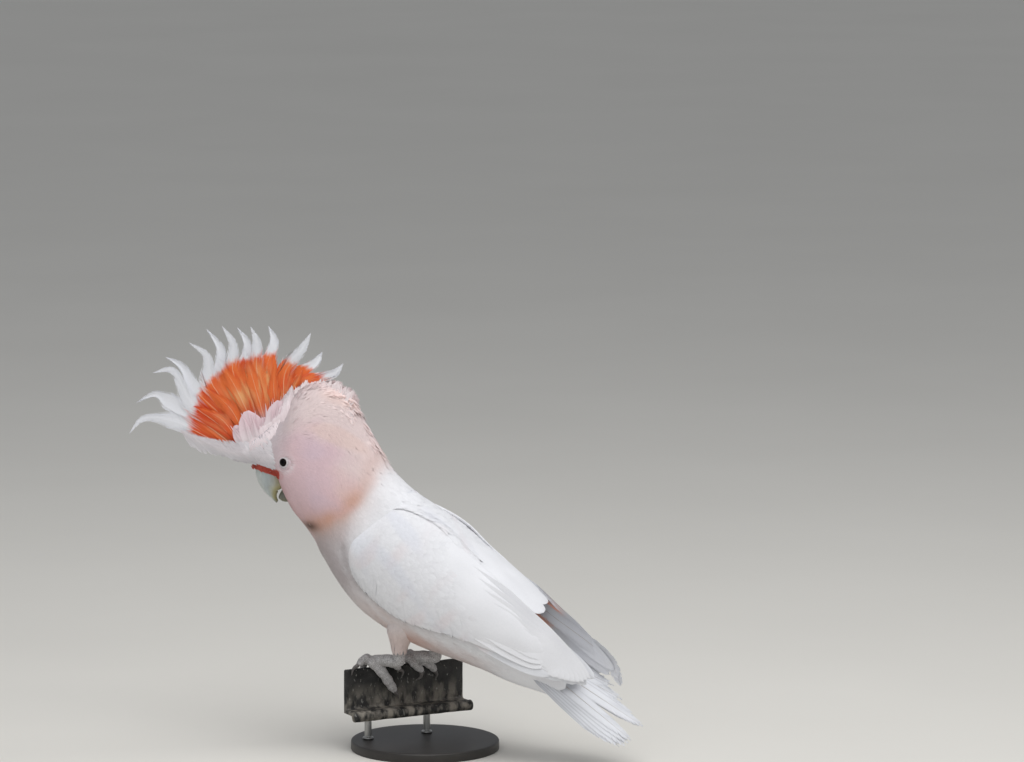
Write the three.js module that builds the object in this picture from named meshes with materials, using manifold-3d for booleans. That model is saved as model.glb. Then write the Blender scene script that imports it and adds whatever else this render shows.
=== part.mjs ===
// A life-size pink cockatoo with its crest raised, gripping a short length of thin metal rim.
// The rim is held by a plain stand: a flat round base and two rods.
// Units are millimetres and +Z is up. The origin is the centre of the base's underside.
//
// The bird is shaped in its own frame: x runs back towards the tail, y to the bird's right and
// z up from the top of the rim. place() then turns the head, turns the bird and sets it on the rim.
import * as THREE from "three";
import { mergeVertices } from "three/addons/utils/BufferGeometryUtils.js";
import Module from "manifold-3d";

const wasm = await Module();
wasm.setup();

const DEG = Math.PI / 180;

// Pose
const RIM_TOP = 70;
const FEET = new THREE.Vector3(-29, 10, RIM_TOP);
const YAW = 25 * DEG;
const HEAD_TURN = 14 * DEG;
const NECK_START = 10;
const NECK_LENGTH = 90;
const RIM_TURN = 28 * DEG;

// Clearance between neighbouring solids
const GAP = 0.35;
const WING_GAP = 0.6;

// Rim and stand
const RIM_LENGTH = 112;
const RIM_OFFSET = 12;
const RIM_WALL = 3.6;
const RIM_HEIGHT = 38;
const LEDGE_WIDTH = 17;
const BEAD_RADIUS = 4.5;
const BASE_RADIUS = 63;
const BASE_HEIGHT = 8;
const BASE_CHAMFER = 1.5;
const ROD_RADIUS = 3;
const ROD_PLACES = { front: -22, rear: 34 };

// Body sections from the face to the vent: back line [x, z], belly line [x, z],
// half width, and how much narrower the section is at the back than at the belly.
const BODY = [
  [[-128, 181], [-117, 171], 5, 0],
  [[-122, 190], [-107, 168], 12, 0.05],
  [[-107, 202], [-96, 162], 18, 0.1],
  [[-90, 218], [-90, 147], 23, 0.25],
  [[-78, 235], [-82, 132], 27, 0.35],
  [[-59, 241], [-73, 121], 30, 0.4],
  [[-39, 232], [-67, 113], 32, 0.35],
  [[-25, 210], [-62, 105], 33, 0.3],
  [[-13, 189], [-58, 96], 34.5, 0.25],
  [[-3, 169], [-53, 88], 37, 0.2],
  [[10, 153], [-47, 78], 40, 0.15],
  [[33, 138], [-36, 62], 42, 0.1],
  [[58, 121], [-22, 47], 42, 0.05],
  [[81, 102], [2, 32], 40, 0],
  [[99, 84], [30, 20], 35, 0],
  [[115, 67], [60, 12], 30, 0],
  [[131, 51], [86, 5], 24, 0],
  [[147, 38], [112, -4], 18, 0],
  [[166, 24], [138, -10], 13, 0],
];
const HEAD_END = 6.5;
const NECK_END = 9.5;
const SEAM = 0.06;
const AROUND = 18;

// Wing sections from the wrist to the flight feathers: lower edge, upper edge (for the bird's
// right side), how far the section bulges outwards, and its thickness.
const WING = [
  [[-25, 33, 101], [-21, 30, 111], 3, 8],
  [[-22, 37, 90], [-15, 27, 123], 6, 9],
  [[-10, 40, 75], [3, 23, 135], 10, 9],
  [[9, 43, 62], [20, 21, 141], 13, 9],
  [[30, 45, 51], [43, 20, 135], 14, 8],
  [[53, 46, 45], [64, 20, 124], 13, 7],
  [[76, 46, 41], [80, 20, 110], 11, 6],
  [[97, 44, 35], [94, 21, 99], 9, 5],
  [[117, 41, 28], [109, 22, 87.5], 7, 4],
  [[135, 37, 22], [125, 23, 74.5], 6, 3.2],
  [[150, 34, 17], [142, 23, 60], 4, 2.6],
  [[160, 31, 17], [157, 23, 48], 3, 2.2],
];
// Outer flight feathers of a folded wing: root and tip.
const PRIMARIES = [
  [[105, 39, 40], [166, 33, 12]],
  [[110, 37, 46], [176, 30, 8]],
  [[116, 35, 51], [186, 27, 5]],
  [[122, 31, 55], [193, 24, 4]],
  [[128, 27, 57], [199, 21, 9]],
];
const PRIMARY_WIDTH = 21;
const PRIMARY_THICKNESS = 1.4;
// The right wing's tip droops beyond the folded feathers.
const DROOPED_WIDTH = 15;
const DROOPED_TIP = [[134, 25, 53], [193, 22, 16], [205, 21, -4]];

// Inner feathers of the right wing, lying over the back.
const TERTIAL_ROOF = 9;
const TERTIALS = [
  [[60, 2, 115], 18, 4],
  [[84, 2, 99.5], 23, 7],
  [[103, 2, 86.5], 25, 8],
  [[117, 2, 77], 26, 8],
  [[128, 1, 67], 24, 7],
  [[136, 0, 58], 15, 5],
];

// Tail: twelve feathers fanned from a root, rolled about the tail's own line.
const TAIL_ROOT = new THREE.Vector3(125, 0, 23);
const TAIL_SLOPE = 30.5 * DEG;
const TAIL_ROLL = 28 * DEG;
const TAIL_LEFT = [127, 126, 123, 120, 117, 113];
const TAIL_RIGHT = [122, 119, 110, 99, 89, 80];
const TAIL_WIDTH = 17;
const TAIL_THICKNESS = 1.4;

// Crest feathers from the forehead back: root, middle and tip as [x, z], and blade width.
const CREST = [
  [[-127, 178], [-196, 208], [-226, 193], 12],
  [[-126, 182], [-199, 226], [-221, 219], 13],
  [[-124, 185], [-178, 225], [-205, 246], 14],
  [[-122, 188], [-172, 235], [-195, 259], 15],
  [[-119, 190], [-159, 246], [-173, 273], 16],
  [[-115, 193], [-148, 251], [-159, 284], 17],
  [[-111, 196], [-138, 254], [-144, 288], 17],
  [[-107, 198], [-127, 256], [-132, 286], 17],
  [[-103, 201], [-116, 257], [-119, 288], 17],
  [[-99, 204], [-107, 257], [-105, 288], 17],
  [[-94, 208], [-89, 255], [-67, 284], 17],
  [[-89, 212], [-81, 249], [-59, 267], 17],
  [[-83, 216], [-73, 243], [-40, 258], 16],
];
const CREST_THICKNESS = 1.6;
const CREST_SPREAD = 3;

// Bill: front edge and rear edge [x, z] and half width, from the cere to the tip.
const BILL_UPPER = [
  [[-115, 168], [-92, 164], 9],
  [[-115.5, 163], [-91, 158], 9],
  [[-114, 156], [-91, 153], 8],
  [[-111, 150], [-94, 149.5], 6.5],
  [[-107, 145], [-96.5, 147], 4.6],
  [[-102.5, 140.5], [-98, 143.5], 2.6],
  [[-98, 137], [-96.8, 139], 0.9],
];
const BILL_LOWER = [
  [[-90, 152], [-80, 143], 7.5],
  [[-93.5, 148], [-86, 139], 7],
  [[-95.5, 144.5], [-91, 138.5], 5.5],
  [[-96.2, 142.5], [-93.6, 140], 3.6],
];

// Eye: outermost point of the right one, and radius of the ball.
const EYE = [-85.2, 26.6, 176];
const EYE_RADIUS = 5.2;

// Legs. Trousers: centre [x, z], half length along the bird and half width.
const TROUSER = [
  [[22, 44], 15, 12],
  [[19, 34], 13, 11],
  [[16, 25], 9, 9],
  [[15, 18], 7, 7.2],
  [[15, 12], 5.6, 5.8],
];
const LEG_SIDE = 14;
const LEG_STAGGER = 20.6;
// Feet, given from the place where the toes meet, on the left foot: shank and toes as
// points [x, y, z] with a radius at each. x runs back, y to the bird's right, z up.
const SHANK = {
  path: [[25, 0, 13], [24, 0, 7.5], [12, 0, 7], [1, 0, 5.4], [-5, 0, 4.6]],
  radius: [5, 5.4, 4.8, 4.8, 3.4],
};
const TOES = {
  left: {
    outer_front: {
      path: [[-2, -3, 6], [-5, -6.6, 8], [-8, -10.6, 4.8]],
      radius: [3.8, 3.5, 2.9],
      claw: [[-9.3, -12.3, 3], [-11.8, -15.6, 0.6], [-13, -16.4, -4.4]],
    },
    inner_front: {
      path: [[-3, 0, 6], [-8, 4, 6.4], [-12, 7, 0], [-11.5, 7, -7]],
      radius: [3.8, 3.6, 3.2, 2.6],
      claw: [[-11.2, 7, -9], [-9.6, 6.4, -14], [-5.8, 4.6, -16.6]],
    },
    outer_rear: {
      path: [[1, -4, 5], [8.4, 1.6, -4.6], [12, 6.4, -13.3], [14.6, 10, -20]],
      radius: [4.2, 4.3, 4, 3.1],
      claw: [[15.4, 11, -22], [17.2, 13.2, -25.4], [17, 14, -29]],
    },
    inner_rear: {
      path: [[3, 0, 4.6], [10, 5, 3.4], [15.5, 10.2, 1.6], [17.6, 13, -1.4]],
      radius: [3.6, 3.3, 3.3, 2.8],
      claw: [[18.4, 14, -3], [20.4, 16.4, -5.6], [19.6, 15.6, -10]],
    },
  },
  right: {
    outer_front: {
      path: [[0, 3, 6], [-4, 10, 6.2], [-7.4, 14, 0], [-7, 13.6, -7]],
      radius: [3.8, 3.5, 3.1, 2.6],
      claw: [[-6.8, 13.2, -9], [-5.2, 12.4, -14], [-1.6, 10.6, -16.4]],
    },
    inner_front: {
      path: [[-3, 0, 6], [-8, 3, 6.4], [-12, 5, 0], [-11.5, 5, -7]],
      radius: [3.8, 3.6, 3.2, 2.6],
      claw: [[-11.2, 5, -9], [-9.6, 4.4, -14], [-5.8, 2.8, -16.6]],
    },
    outer_rear: {
      path: [[4, 0, 4.6], [10, 5.6, 1.6], [15, 11.6, -3], [16.6, 14.4, -6.4]],
      radius: [3.8, 3.6, 3.3, 2.8],
      claw: [[17, 15.2, -8], [18, 16.8, -11.4], [17, 16, -15.6]],
    },
    inner_rear: {
      path: [[3, -4, 5], [6, -2.4, 0.6], [9.6, 2.4, -5.2]],
      radius: [3.8, 3.7, 3.1],
      claw: [[10, 3.2, -7.4], [9.6, 3.2, -11.6], [6.2, 0.2, -14.4]],
    },
  },
};

const group = new THREE.Group();

// ---------- Frames ----------

function smooth(t) {
  const s = Math.min(Math.max(t, 0), 1);
  return s * s * (3 - 2 * s);
}

function place(p) {
  const turn = HEAD_TURN * smooth((NECK_START - p.x) / NECK_LENGTH);
  const x = NECK_START + (p.x - NECK_START) * Math.cos(turn) - p.y * Math.sin(turn);
  const y = (p.x - NECK_START) * Math.sin(turn) + p.y * Math.cos(turn);
  return new THREE.Vector3(
    FEET.x + x * Math.cos(YAW) + y * Math.sin(YAW),
    FEET.y - x * Math.sin(YAW) + y * Math.cos(YAW),
    FEET.z + p.z,
  );
}

// ---------- Solids ----------

function closed(geometry) {
  let g = geometry.clone();
  g.deleteAttribute("normal");
  g.deleteAttribute("uv");
  g = mergeVertices(g, 1e-4);
  const solid = new wasm.Manifold(
    new wasm.Mesh({
      numProp: 3,
      vertProperties: new Float32Array(g.attributes.position.array),
      triVerts: new Uint32Array(g.index.array),
    }),
  );
  if (solid.volume() > 0) {
    return solid;
  }
  const flipped = Uint32Array.from(g.index.array);
  for (let i = 0; i < flipped.length; i += 3) {
    [flipped[i + 1], flipped[i + 2]] = [flipped[i + 2], flipped[i + 1]];
  }
  return new wasm.Manifold(
    new wasm.Mesh({
      numProp: 3,
      vertProperties: new Float32Array(g.attributes.position.array),
      triVerts: flipped,
    }),
  );
}

// A closed tube whose surface point is at(along 0..1, angle, radius 0 or 1).
function tube(around, along, at, placed = place) {
  const g = new THREE.CylinderGeometry(1, 1, 1, around, along);
  const position = g.attributes.position;
  for (let i = 0; i < position.count; i += 1) {
    const r = Math.hypot(position.getX(i), position.getZ(i));
    const angle = Math.atan2(position.getX(i), position.getZ(i));
    const p = placed(at(position.getY(i) + 0.5, angle, r));
    position.setXYZ(i, p.x, p.y, p.z);
  }
  return closed(g);
}

function curve(points) {
  return new THREE.CatmullRomCurve3(
    points.map((p) => new THREE.Vector3(...p)),
    false,
    "centripetal",
  );
}

function round(value, power) {
  return Math.sign(value) * Math.abs(value) ** power;
}

function keepLargest(solid) {
  return solid.decompose().sort((a, b) => b.volume() - a.volume())[0];
}

function addNode(name, solid, color, roughness, metalness = 0) {
  const mesh = solid.getMesh();
  const g = new THREE.BufferGeometry();
  const points = new Float32Array(mesh.numVert * 3);
  for (let i = 0; i < mesh.numVert; i += 1) {
    for (let k = 0; k < 3; k += 1) {
      points[3 * i + k] = mesh.vertProperties[i * mesh.numProp + k];
    }
  }
  g.setAttribute("position", new THREE.BufferAttribute(points, 3));
  g.setIndex(Array.from(mesh.triVerts));
  g.computeVertexNormals();
  const material = new THREE.MeshStandardMaterial({ color, roughness, metalness });
  const node = new THREE.Mesh(g, material);
  node.name = name;
  group.add(node);
}

// ---------- Body ----------

const backLine = curve(BODY.map((s) => [s[0][0], 0, s[0][1]]));
const bellyLine = curve(BODY.map((s) => [s[1][0], 0, s[1][1]]));
const girth = curve(BODY.map((s, i) => [s[2], s[3] * 20, i]));

function bodySolid(from, to, rings, grow = 0) {
  const last = BODY.length - 1;
  return tube(AROUND, rings, (v, angle, r) => {
    const t = (from + (to - from) * v) / last;
    const back = backLine.getPoint(t);
    const belly = bellyLine.getPoint(t);
    const side = girth.getPoint(t);
    const middle = back.clone().add(belly).multiplyScalar(0.5);
    const up = back.clone().sub(belly).multiplyScalar(0.5);
    const height = up.length();
    up.normalize().multiplyScalar((height + grow) * r * Math.cos(angle));
    const narrow = 1 - (side.y / 20) * Math.cos(angle);
    const wide = (side.x + grow) * r * round(Math.sin(angle), 0.9) * narrow;
    return middle.add(up).add(new THREE.Vector3(0, wide, 0));
  });
}

// ---------- Wings ----------

function wingSolid(side, grow = 0) {
  const lower = curve(WING.map((s) => s[0]));
  const upper = curve(WING.map((s) => s[1]));
  const form = curve(WING.map((s, i) => [s[2], s[3], i]));
  const outward = new THREE.Vector3(0, 1, 0);
  const along = new THREE.Vector3(0.86, 0, -0.5).normalize();
  return tube(12, 12, (v, angle, r) => {
    const low = lower.getPoint(v);
    const high = upper.getPoint(v);
    const size = form.getPoint(v);
    const across = high.clone().sub(low);
    const width = across.length();
    across.normalize();
    const normal = along.clone().cross(across).normalize();
    if (normal.dot(outward) < 0) {
      normal.negate();
    }
    const s = r * round(Math.cos(angle), 0.8);
    const edge = s * (1 + (2 * grow) / width);
    const lift = size.x * (1 - edge * edge) + (size.y / 2 + grow) * r * round(Math.sin(angle), 0.6);
    const p = low.clone().lerp(high, 0.5);
    p.addScaledVector(across, s * (width / 2 + grow));
    p.addScaledVector(normal, lift);
    p.addScaledVector(along, (1 - r) * Math.sign(v - 0.5) * 2 * grow);
    p.y *= side;
    return p;
  });
}

// A flat feather along a curved line. flat is the direction of its broad face.
function feather(points, width, thickness, flat, { along = 4, bluntness = 0.35, grow = 0 } = {}) {
  const line = curve(points);
  const corner = Math.PI / 4;
  return tube(4, along, (v, angle, r) => {
    const end = 1 - Math.max(0, (v - 1 + bluntness) / bluntness) ** 2;
    const taper = (0.35 + 0.65 * Math.min(1, v * 3)) * Math.sqrt(Math.max(end, 0.01));
    const half = (width / 2) * taper + grow;
    const tangent = line.getTangent(v);
    const across = tangent.clone().cross(flat).normalize();
    const p = line.getPoint(v).addScaledVector(tangent, (1 - r) * Math.sign(v - 0.5) * 2 * grow);
    p.addScaledVector(across, half * r * Math.SQRT2 * Math.cos(angle + corner));
    return p.addScaledVector(flat, (thickness / 2 + grow) * r * Math.SQRT2 * Math.sin(angle + corner));
  });
}

function wingSide(side, grow = 0) {
  let solid = wingSolid(side, grow);
  PRIMARIES.forEach(([root, tip], i) => {
    const flat = new THREE.Vector3(0.1, 0.95 * side, 0.3).normalize();
    const from = [root[0], root[1] * side, root[2]];
    const to = [tip[0], tip[1] * side, tip[2]];
    const middle = from.map((value, k) => (value + to[k]) / 2);
    middle[1] += 1.5 * side;
    const width = PRIMARY_WIDTH - i;
    solid = solid.add(feather([from, middle, to], width, PRIMARY_THICKNESS, flat, { grow }));
  });
  if (side > 0) {
    const flat = new THREE.Vector3(0.1, 0.95, 0.3).normalize();
    solid = solid.add(feather(DROOPED_TIP, DROOPED_WIDTH, PRIMARY_THICKNESS, flat, { grow }));
  }
  return solid;
}

function tertialSolid(grow = 0) {
  const line = curve(TERTIALS.map((s) => s[0]));
  const form = curve(TERTIALS.map((s, i) => [s[1], s[2], i]));
  return tube(12, 7, (v, angle, r) => {
    const size = form.getPoint(v);
    const across = new THREE.Vector3(0, 1, 0);
    const tangent = line.getTangent(v);
    const normal = tangent.clone().cross(across).negate().normalize();
    const s = r * round(Math.cos(angle), 0.9);
    const p = line.getPoint(v).addScaledVector(tangent, (1 - r) * Math.sign(v - 0.5) * 2 * grow);
    p.addScaledVector(across, s * (size.x + grow));
    const edge = s * (1 + grow / size.x);
    const lift = (size.y / 2 + grow) * r * round(Math.sin(angle), 0.7) - TERTIAL_ROOF * edge * edge;
    return p.addScaledVector(normal, Math.abs(normal.z) * lift);
  });
}

// ---------- Tail ----------

function tailSolid(grow = 0) {
  const line = new THREE.Vector3(Math.cos(TAIL_SLOPE), 0, -Math.sin(TAIL_SLOPE));
  const plainUp = new THREE.Vector3(Math.sin(TAIL_SLOPE), 0, Math.cos(TAIL_SLOPE));
  const right = new THREE.Vector3(0, Math.cos(TAIL_ROLL), 0).addScaledVector(plainUp, Math.sin(TAIL_ROLL));
  const up = right.clone().cross(line).negate().normalize();
  if (up.z < 0) {
    up.negate();
  }
  let solid = null;
  for (const [lengths, side] of [[TAIL_LEFT, -1], [TAIL_RIGHT, 1]]) {
    lengths.forEach((length, k) => {
      const spread = side * (1 + 1.35 * k) * DEG;
      const heading = line.clone().multiplyScalar(Math.cos(spread)).addScaledVector(right, Math.sin(spread));
      const root = TAIL_ROOT.clone().addScaledVector(right, side * (2 + k)).addScaledVector(up, -0.75 * k);
      const tip = root.clone().addScaledVector(heading, length).addScaledVector(up, -0.5 * k);
      const points = [root.toArray(), root.clone().lerp(tip, 0.5).toArray(), tip.toArray()];
      const blade = feather(points, TAIL_WIDTH, TAIL_THICKNESS, up, { along: 3, bluntness: 0.16, grow });
      solid = solid ? solid.add(blade) : blade;
    });
  }
  return solid;
}

// ---------- Crest ----------

function crestSolid() {
  const flat = new THREE.Vector3(0, 1, 0);
  let solid = null;
  CREST.forEach(([root, middle, tip, width], i) => {
    const side = i % 2 ? 1 : -1;
    const points = [
      [root[0], side * 0.3, root[1] - 4],
      [middle[0] * 0.45 + root[0] * 0.55, side * 0.5, middle[1] * 0.45 + root[1] * 0.55],
      [middle[0], side * 0.7, middle[1]],
      [tip[0], side * CREST_SPREAD, tip[1]],
    ];
    const blade = feather(points, width, CREST_THICKNESS, flat, { along: 5, bluntness: 0.55 });
    solid = solid ? solid.add(blade) : blade;
  });
  return solid;
}

// ---------- Bill, eyes ----------

function billSolid(sections, grow = 0) {
  const front = curve(sections.map((s) => [s[0][0], 0, s[0][1]]));
  const rear = curve(sections.map((s) => [s[1][0], 0, s[1][1]]));
  const half = curve(sections.map((s, i) => [s[2], 0, i]));
  return tube(12, 7, (v, angle, r) => {
    const a = front.getPoint(v);
    const b = rear.getPoint(v);
    const middle = a.clone().add(b).multiplyScalar(0.5);
    const reach = a.clone().sub(b).multiplyScalar(0.5);
    const length = reach.length() + grow;
    reach.normalize().multiplyScalar(length * r * Math.cos(angle));
    return middle.add(reach).add(
      new THREE.Vector3(0, (half.getPoint(v).x + grow) * r * Math.sin(angle), (0.5 - v) * 2 * grow),
    );
  });
}

function eyeSolid(side, grow = 0) {
  const centre = place(new THREE.Vector3(EYE[0], side * (EYE[1] - EYE_RADIUS), EYE[2]));
  const g = new THREE.SphereGeometry(EYE_RADIUS + grow, 12, 7);
  g.translate(centre.x, centre.y, centre.z);
  return closed(g);
}

// ---------- Legs and feet ----------

// A round limb along points with a radius at each of them.
function limb(points, radii, around, along, placed, tipped = false) {
  const line = curve(points);
  const size = curve(radii.map((radius, i) => [radius, 0, i]));
  return tube(
    around,
    along,
    (v, angle, r) => {
      const tangent = line.getTangent(v);
      const across = new THREE.Vector3(0.31, 1, 0.13).cross(tangent).normalize();
      const other = tangent.clone().cross(across);
      const end = tipped ? 1 : Math.sqrt(Math.max(0.3, 1 - Math.max(0, (v - 0.85) / 0.15) ** 2));
      const radius = size.getPoint(v).x * end;
      const p = line.getPoint(v);
      p.addScaledVector(across, radius * r * Math.cos(angle));
      return p.addScaledVector(other, radius * r * Math.sin(angle));
    },
    placed,
  );
}

function thighSolid(side, grow = 0) {
  const shape = curve(TROUSER.map((s) => [s[0][0], 0, s[0][1]]));
  const sizes = curve(TROUSER.map((s, i) => [s[1], s[2], i]));
  return tube(13, 6, (v, angle, r) => {
    const p = shape.getPoint(v);
    const size = sizes.getPoint(v);
    p.x += (size.x + grow) * r * Math.cos(angle) + (side > 0 ? LEG_STAGGER * smooth(v) : 0);
    p.y += side * (LEG_SIDE + 5 * (1 - smooth(v * 1.5))) + (size.y + grow) * r * Math.sin(angle);
    p.z -= v > 0.9 ? grow : 0;
    return p;
  });
}

// The left foot stands LEG_STAGGER ahead of the right one, as both grip a slanting rim.
function footPlace(side) {
  return (p) => place(new THREE.Vector3(p.x + (side * LEG_STAGGER) / 2, p.y + side * LEG_SIDE, p.z));
}

// ---------- Rim and stand ----------

function onRim(along, out, z) {
  return new THREE.Vector3(
    FEET.x + along * Math.cos(RIM_TURN) + out * Math.sin(RIM_TURN),
    FEET.y + along * Math.sin(RIM_TURN) - out * Math.cos(RIM_TURN),
    FEET.z + z,
  );
}

function rimSolid(grow = 0) {
  const w = RIM_WALL / 2 + grow;
  const foot = -RIM_HEIGHT;
  const shape = new THREE.Shape();
  shape.moveTo(-w, foot);
  shape.lineTo(-w, -RIM_WALL / 2);
  shape.absarc(0, -RIM_WALL / 2, w, Math.PI, 0, true);
  shape.lineTo(w, foot + RIM_WALL);
  shape.lineTo(LEDGE_WIDTH - BEAD_RADIUS, foot + RIM_WALL);
  shape.absarc(LEDGE_WIDTH, foot + RIM_WALL - BEAD_RADIUS + 1, BEAD_RADIUS, 2.3, -2.3, true);
  shape.lineTo(LEDGE_WIDTH - BEAD_RADIUS, foot);
  shape.closePath();
  const g = new THREE.ExtrudeGeometry(shape, {
    depth: RIM_LENGTH,
    steps: 1,
    bevelEnabled: false,
    curveSegments: 6,
  });
  const position = g.attributes.position;
  for (let i = 0; i < position.count; i += 1) {
    const along = position.getZ(i) - RIM_LENGTH / 2 + RIM_OFFSET;
    const p = onRim(along, position.getX(i), position.getY(i));
    position.setXYZ(i, p.x, p.y, p.z);
  }
  return closed(g);
}

function addStand() {
  const outline = [
    [0, 0],
    [BASE_RADIUS - BASE_CHAMFER * 0.5, 0],
    [BASE_RADIUS, BASE_CHAMFER * 0.5],
    [BASE_RADIUS, BASE_HEIGHT - BASE_CHAMFER],
    [BASE_RADIUS - BASE_CHAMFER, BASE_HEIGHT],
    [0, BASE_HEIGHT],
  ].map(([r, z]) => new THREE.Vector2(r, z));
  const base = new THREE.LatheGeometry(outline, 28);
  base.rotateX(Math.PI / 2);
  addNode("stand_base", closed(base), 0x2b2826, 0.45);
  const rodTop = RIM_TOP - RIM_HEIGHT - GAP;
  const rodBottom = BASE_HEIGHT + GAP;
  for (const [name, along] of Object.entries(ROD_PLACES)) {
    const rod = new THREE.CylinderGeometry(ROD_RADIUS, ROD_RADIUS, rodTop - rodBottom, 16, 1);
    rod.rotateX(Math.PI / 2);
    const at = onRim(along, 2, 0);
    rod.translate(at.x, at.y, (rodTop + rodBottom) / 2);
    addNode(`stand_rod_${name}`, closed(rod), 0x9a9a98, 0.35, 0.9);
  }
}

// ---------- Assembly ----------

const PLUMAGE = 0xe9dedb;
const FACE = 0xe3c4c0;

const wings = { left: wingSide(-1), right: wingSide(1) };
const grownWings = wingSide(-1, WING_GAP)
  .add(wingSide(1, WING_GAP))
  .add(wings.left)
  .add(wings.right);
const grownTertials = tertialSolid(GAP);
const bills = { upper: billSolid(BILL_UPPER), lower: billSolid(BILL_LOWER) };
const grownBills = billSolid(BILL_UPPER, GAP).add(billSolid(BILL_LOWER, GAP));
const grownEyes = eyeSolid(-1, GAP).add(eyeSolid(1, GAP));
const last = BODY.length - 1;

const head = bodySolid(0, HEAD_END, 11);
const neck = bodySolid(HEAD_END + SEAM, NECK_END, 4);
const trunk = bodySolid(NECK_END + SEAM, last, 12);
const grownHead = bodySolid(0, HEAD_END, 11, GAP);
const grownTrunk = bodySolid(HEAD_END, last, 18, GAP);

addNode("head", keepLargest(head.subtract(grownBills).subtract(grownEyes)), FACE, 0.9);
addNode("neck", keepLargest(neck.subtract(grownWings)), 0xe8c9b8, 0.9);
addNode(
  "trunk",
  keepLargest(trunk.subtract(grownWings).subtract(grownTertials).subtract(tailSolid(GAP))),
  PLUMAGE,
  0.9,
);
addNode("wing_left", keepLargest(wings.left), 0xf0eeee, 0.85);
addNode("wing_right", keepLargest(wings.right.subtract(grownTertials)), 0xf0eeee, 0.85);
addNode("tertials_right", keepLargest(tertialSolid().subtract(wingSide(-1, WING_GAP))), 0xf2f0f0, 0.85);
addNode("tail", keepLargest(tailSolid().subtract(grownWings)), 0xf0eeee, 0.85);
addNode("crest", keepLargest(crestSolid().subtract(grownHead)), 0xe8562a, 0.85);
addNode("bill_upper", keepLargest(bills.upper), 0xb9bba6, 0.4);
addNode("bill_lower", keepLargest(bills.lower.subtract(billSolid(BILL_UPPER, GAP))), 0xa9ab98, 0.45);

const grownRim = rimSolid(GAP);
for (const [name, side] of [["left", -1], ["right", 1]]) {
  addNode(`eye_${name}`, eyeSolid(side), 0x0c0a0a, 0.08);
  const thigh = thighSolid(side);
  addNode(`thigh_${name}`, keepLargest(thigh.subtract(grownTrunk).subtract(grownWings)), PLUMAGE, 0.9);
  let foot = limb(SHANK.path, SHANK.radius, 8, 6, footPlace(side));
  const claws = {};
  for (const [toe, { path, radius, claw }] of Object.entries(TOES[name])) {
    foot = foot.add(limb(path, radius, 6, 4, footPlace(side)));
    const clawRadius = [radius[radius.length - 1] * 0.62, 1.2, 0.3];
    claws[toe] = limb(claw, clawRadius, 5, 4, footPlace(side), true);
  }
  foot = keepLargest(foot.subtract(thighSolid(side, GAP)).subtract(grownRim));
  addNode(`foot_${name}`, foot, 0x77716d, 0.8);
  for (const [toe, solid] of Object.entries(claws)) {
    addNode(`claw_${name}_${toe}`, keepLargest(solid.subtract(foot).subtract(grownRim)), 0x2d2a29, 0.45);
  }
}

addNode("perch_rim", rimSolid(), 0x3c3c3e, 0.6, 0.6);
addStand();

export default group;
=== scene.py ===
"""Looks for the pink cockatoo on its cut rim and display stand.

Shapes are worked out in the bird's own frame, in millimetres: x runs back towards the tail, y to
the bird's right and z up from the top of the rim. place() turns them into the row frame in metres.
"""

import math

import bpy
import numpy as np
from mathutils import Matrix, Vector
from mathutils.bvhtree import BVHTree
from mathutils.kdtree import KDTree


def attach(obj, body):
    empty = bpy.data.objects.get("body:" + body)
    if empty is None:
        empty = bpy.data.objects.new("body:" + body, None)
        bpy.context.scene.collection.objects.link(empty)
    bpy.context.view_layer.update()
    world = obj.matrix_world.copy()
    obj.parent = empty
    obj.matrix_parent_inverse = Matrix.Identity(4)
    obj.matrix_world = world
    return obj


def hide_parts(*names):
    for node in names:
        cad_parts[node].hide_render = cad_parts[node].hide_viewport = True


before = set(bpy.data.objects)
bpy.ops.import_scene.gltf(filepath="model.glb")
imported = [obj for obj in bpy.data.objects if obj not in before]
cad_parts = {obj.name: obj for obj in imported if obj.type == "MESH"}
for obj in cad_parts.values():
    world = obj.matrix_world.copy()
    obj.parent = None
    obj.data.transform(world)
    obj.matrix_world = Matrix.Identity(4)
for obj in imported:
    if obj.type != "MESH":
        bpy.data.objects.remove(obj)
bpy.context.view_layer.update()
rng = np.random.default_rng(7)

MILLIMETRE = 0.001

# ---------- Sizes, as in the CAD source ----------

RIM_TOP = 70
FEET = (-29, 10, RIM_TOP)
YAW = math.radians(25)
HEAD_TURN = math.radians(14)
NECK_START = 10
NECK_LENGTH = 90
RIM_TURN = math.radians(28)

RIM_LENGTH = 112
RIM_OFFSET = 12
RIM_WALL = 3.6
RIM_HEIGHT = 38
LEDGE_WIDTH = 17
BEAD_RADIUS = 4.5
BASE_RADIUS = 63
BASE_HEIGHT = 8
ROD_RADIUS = 3
ROD_PLACES = {"front": -22, "rear": 34}

# Back line [x, z], belly line [x, z], half width, narrowing towards the back.
BODY = [
    [(-128, 181), (-117, 171), 5, 0],
    [(-122, 190), (-107, 168), 12, 0.05],
    [(-107, 202), (-96, 162), 18, 0.1],
    [(-90, 218), (-90, 147), 23, 0.25],
    [(-78, 235), (-82, 132), 27, 0.35],
    [(-59, 241), (-73, 121), 30, 0.4],
    [(-39, 232), (-67, 113), 32, 0.35],
    [(-25, 210), (-62, 105), 33, 0.3],
    [(-13, 189), (-58, 96), 34.5, 0.25],
    [(-3, 169), (-53, 88), 37, 0.2],
    [(10, 153), (-47, 78), 40, 0.15],
    [(33, 138), (-36, 62), 42, 0.1],
    [(58, 121), (-22, 47), 42, 0.05],
    [(81, 102), (2, 32), 40, 0],
    [(99, 84), (30, 20), 35, 0],
    [(115, 67), (60, 12), 30, 0],
    [(131, 51), (86, 5), 24, 0],
    [(147, 38), (112, -4), 18, 0],
    [(166, 24), (138, -10), 13, 0],
]
LAST = len(BODY) - 1
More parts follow.
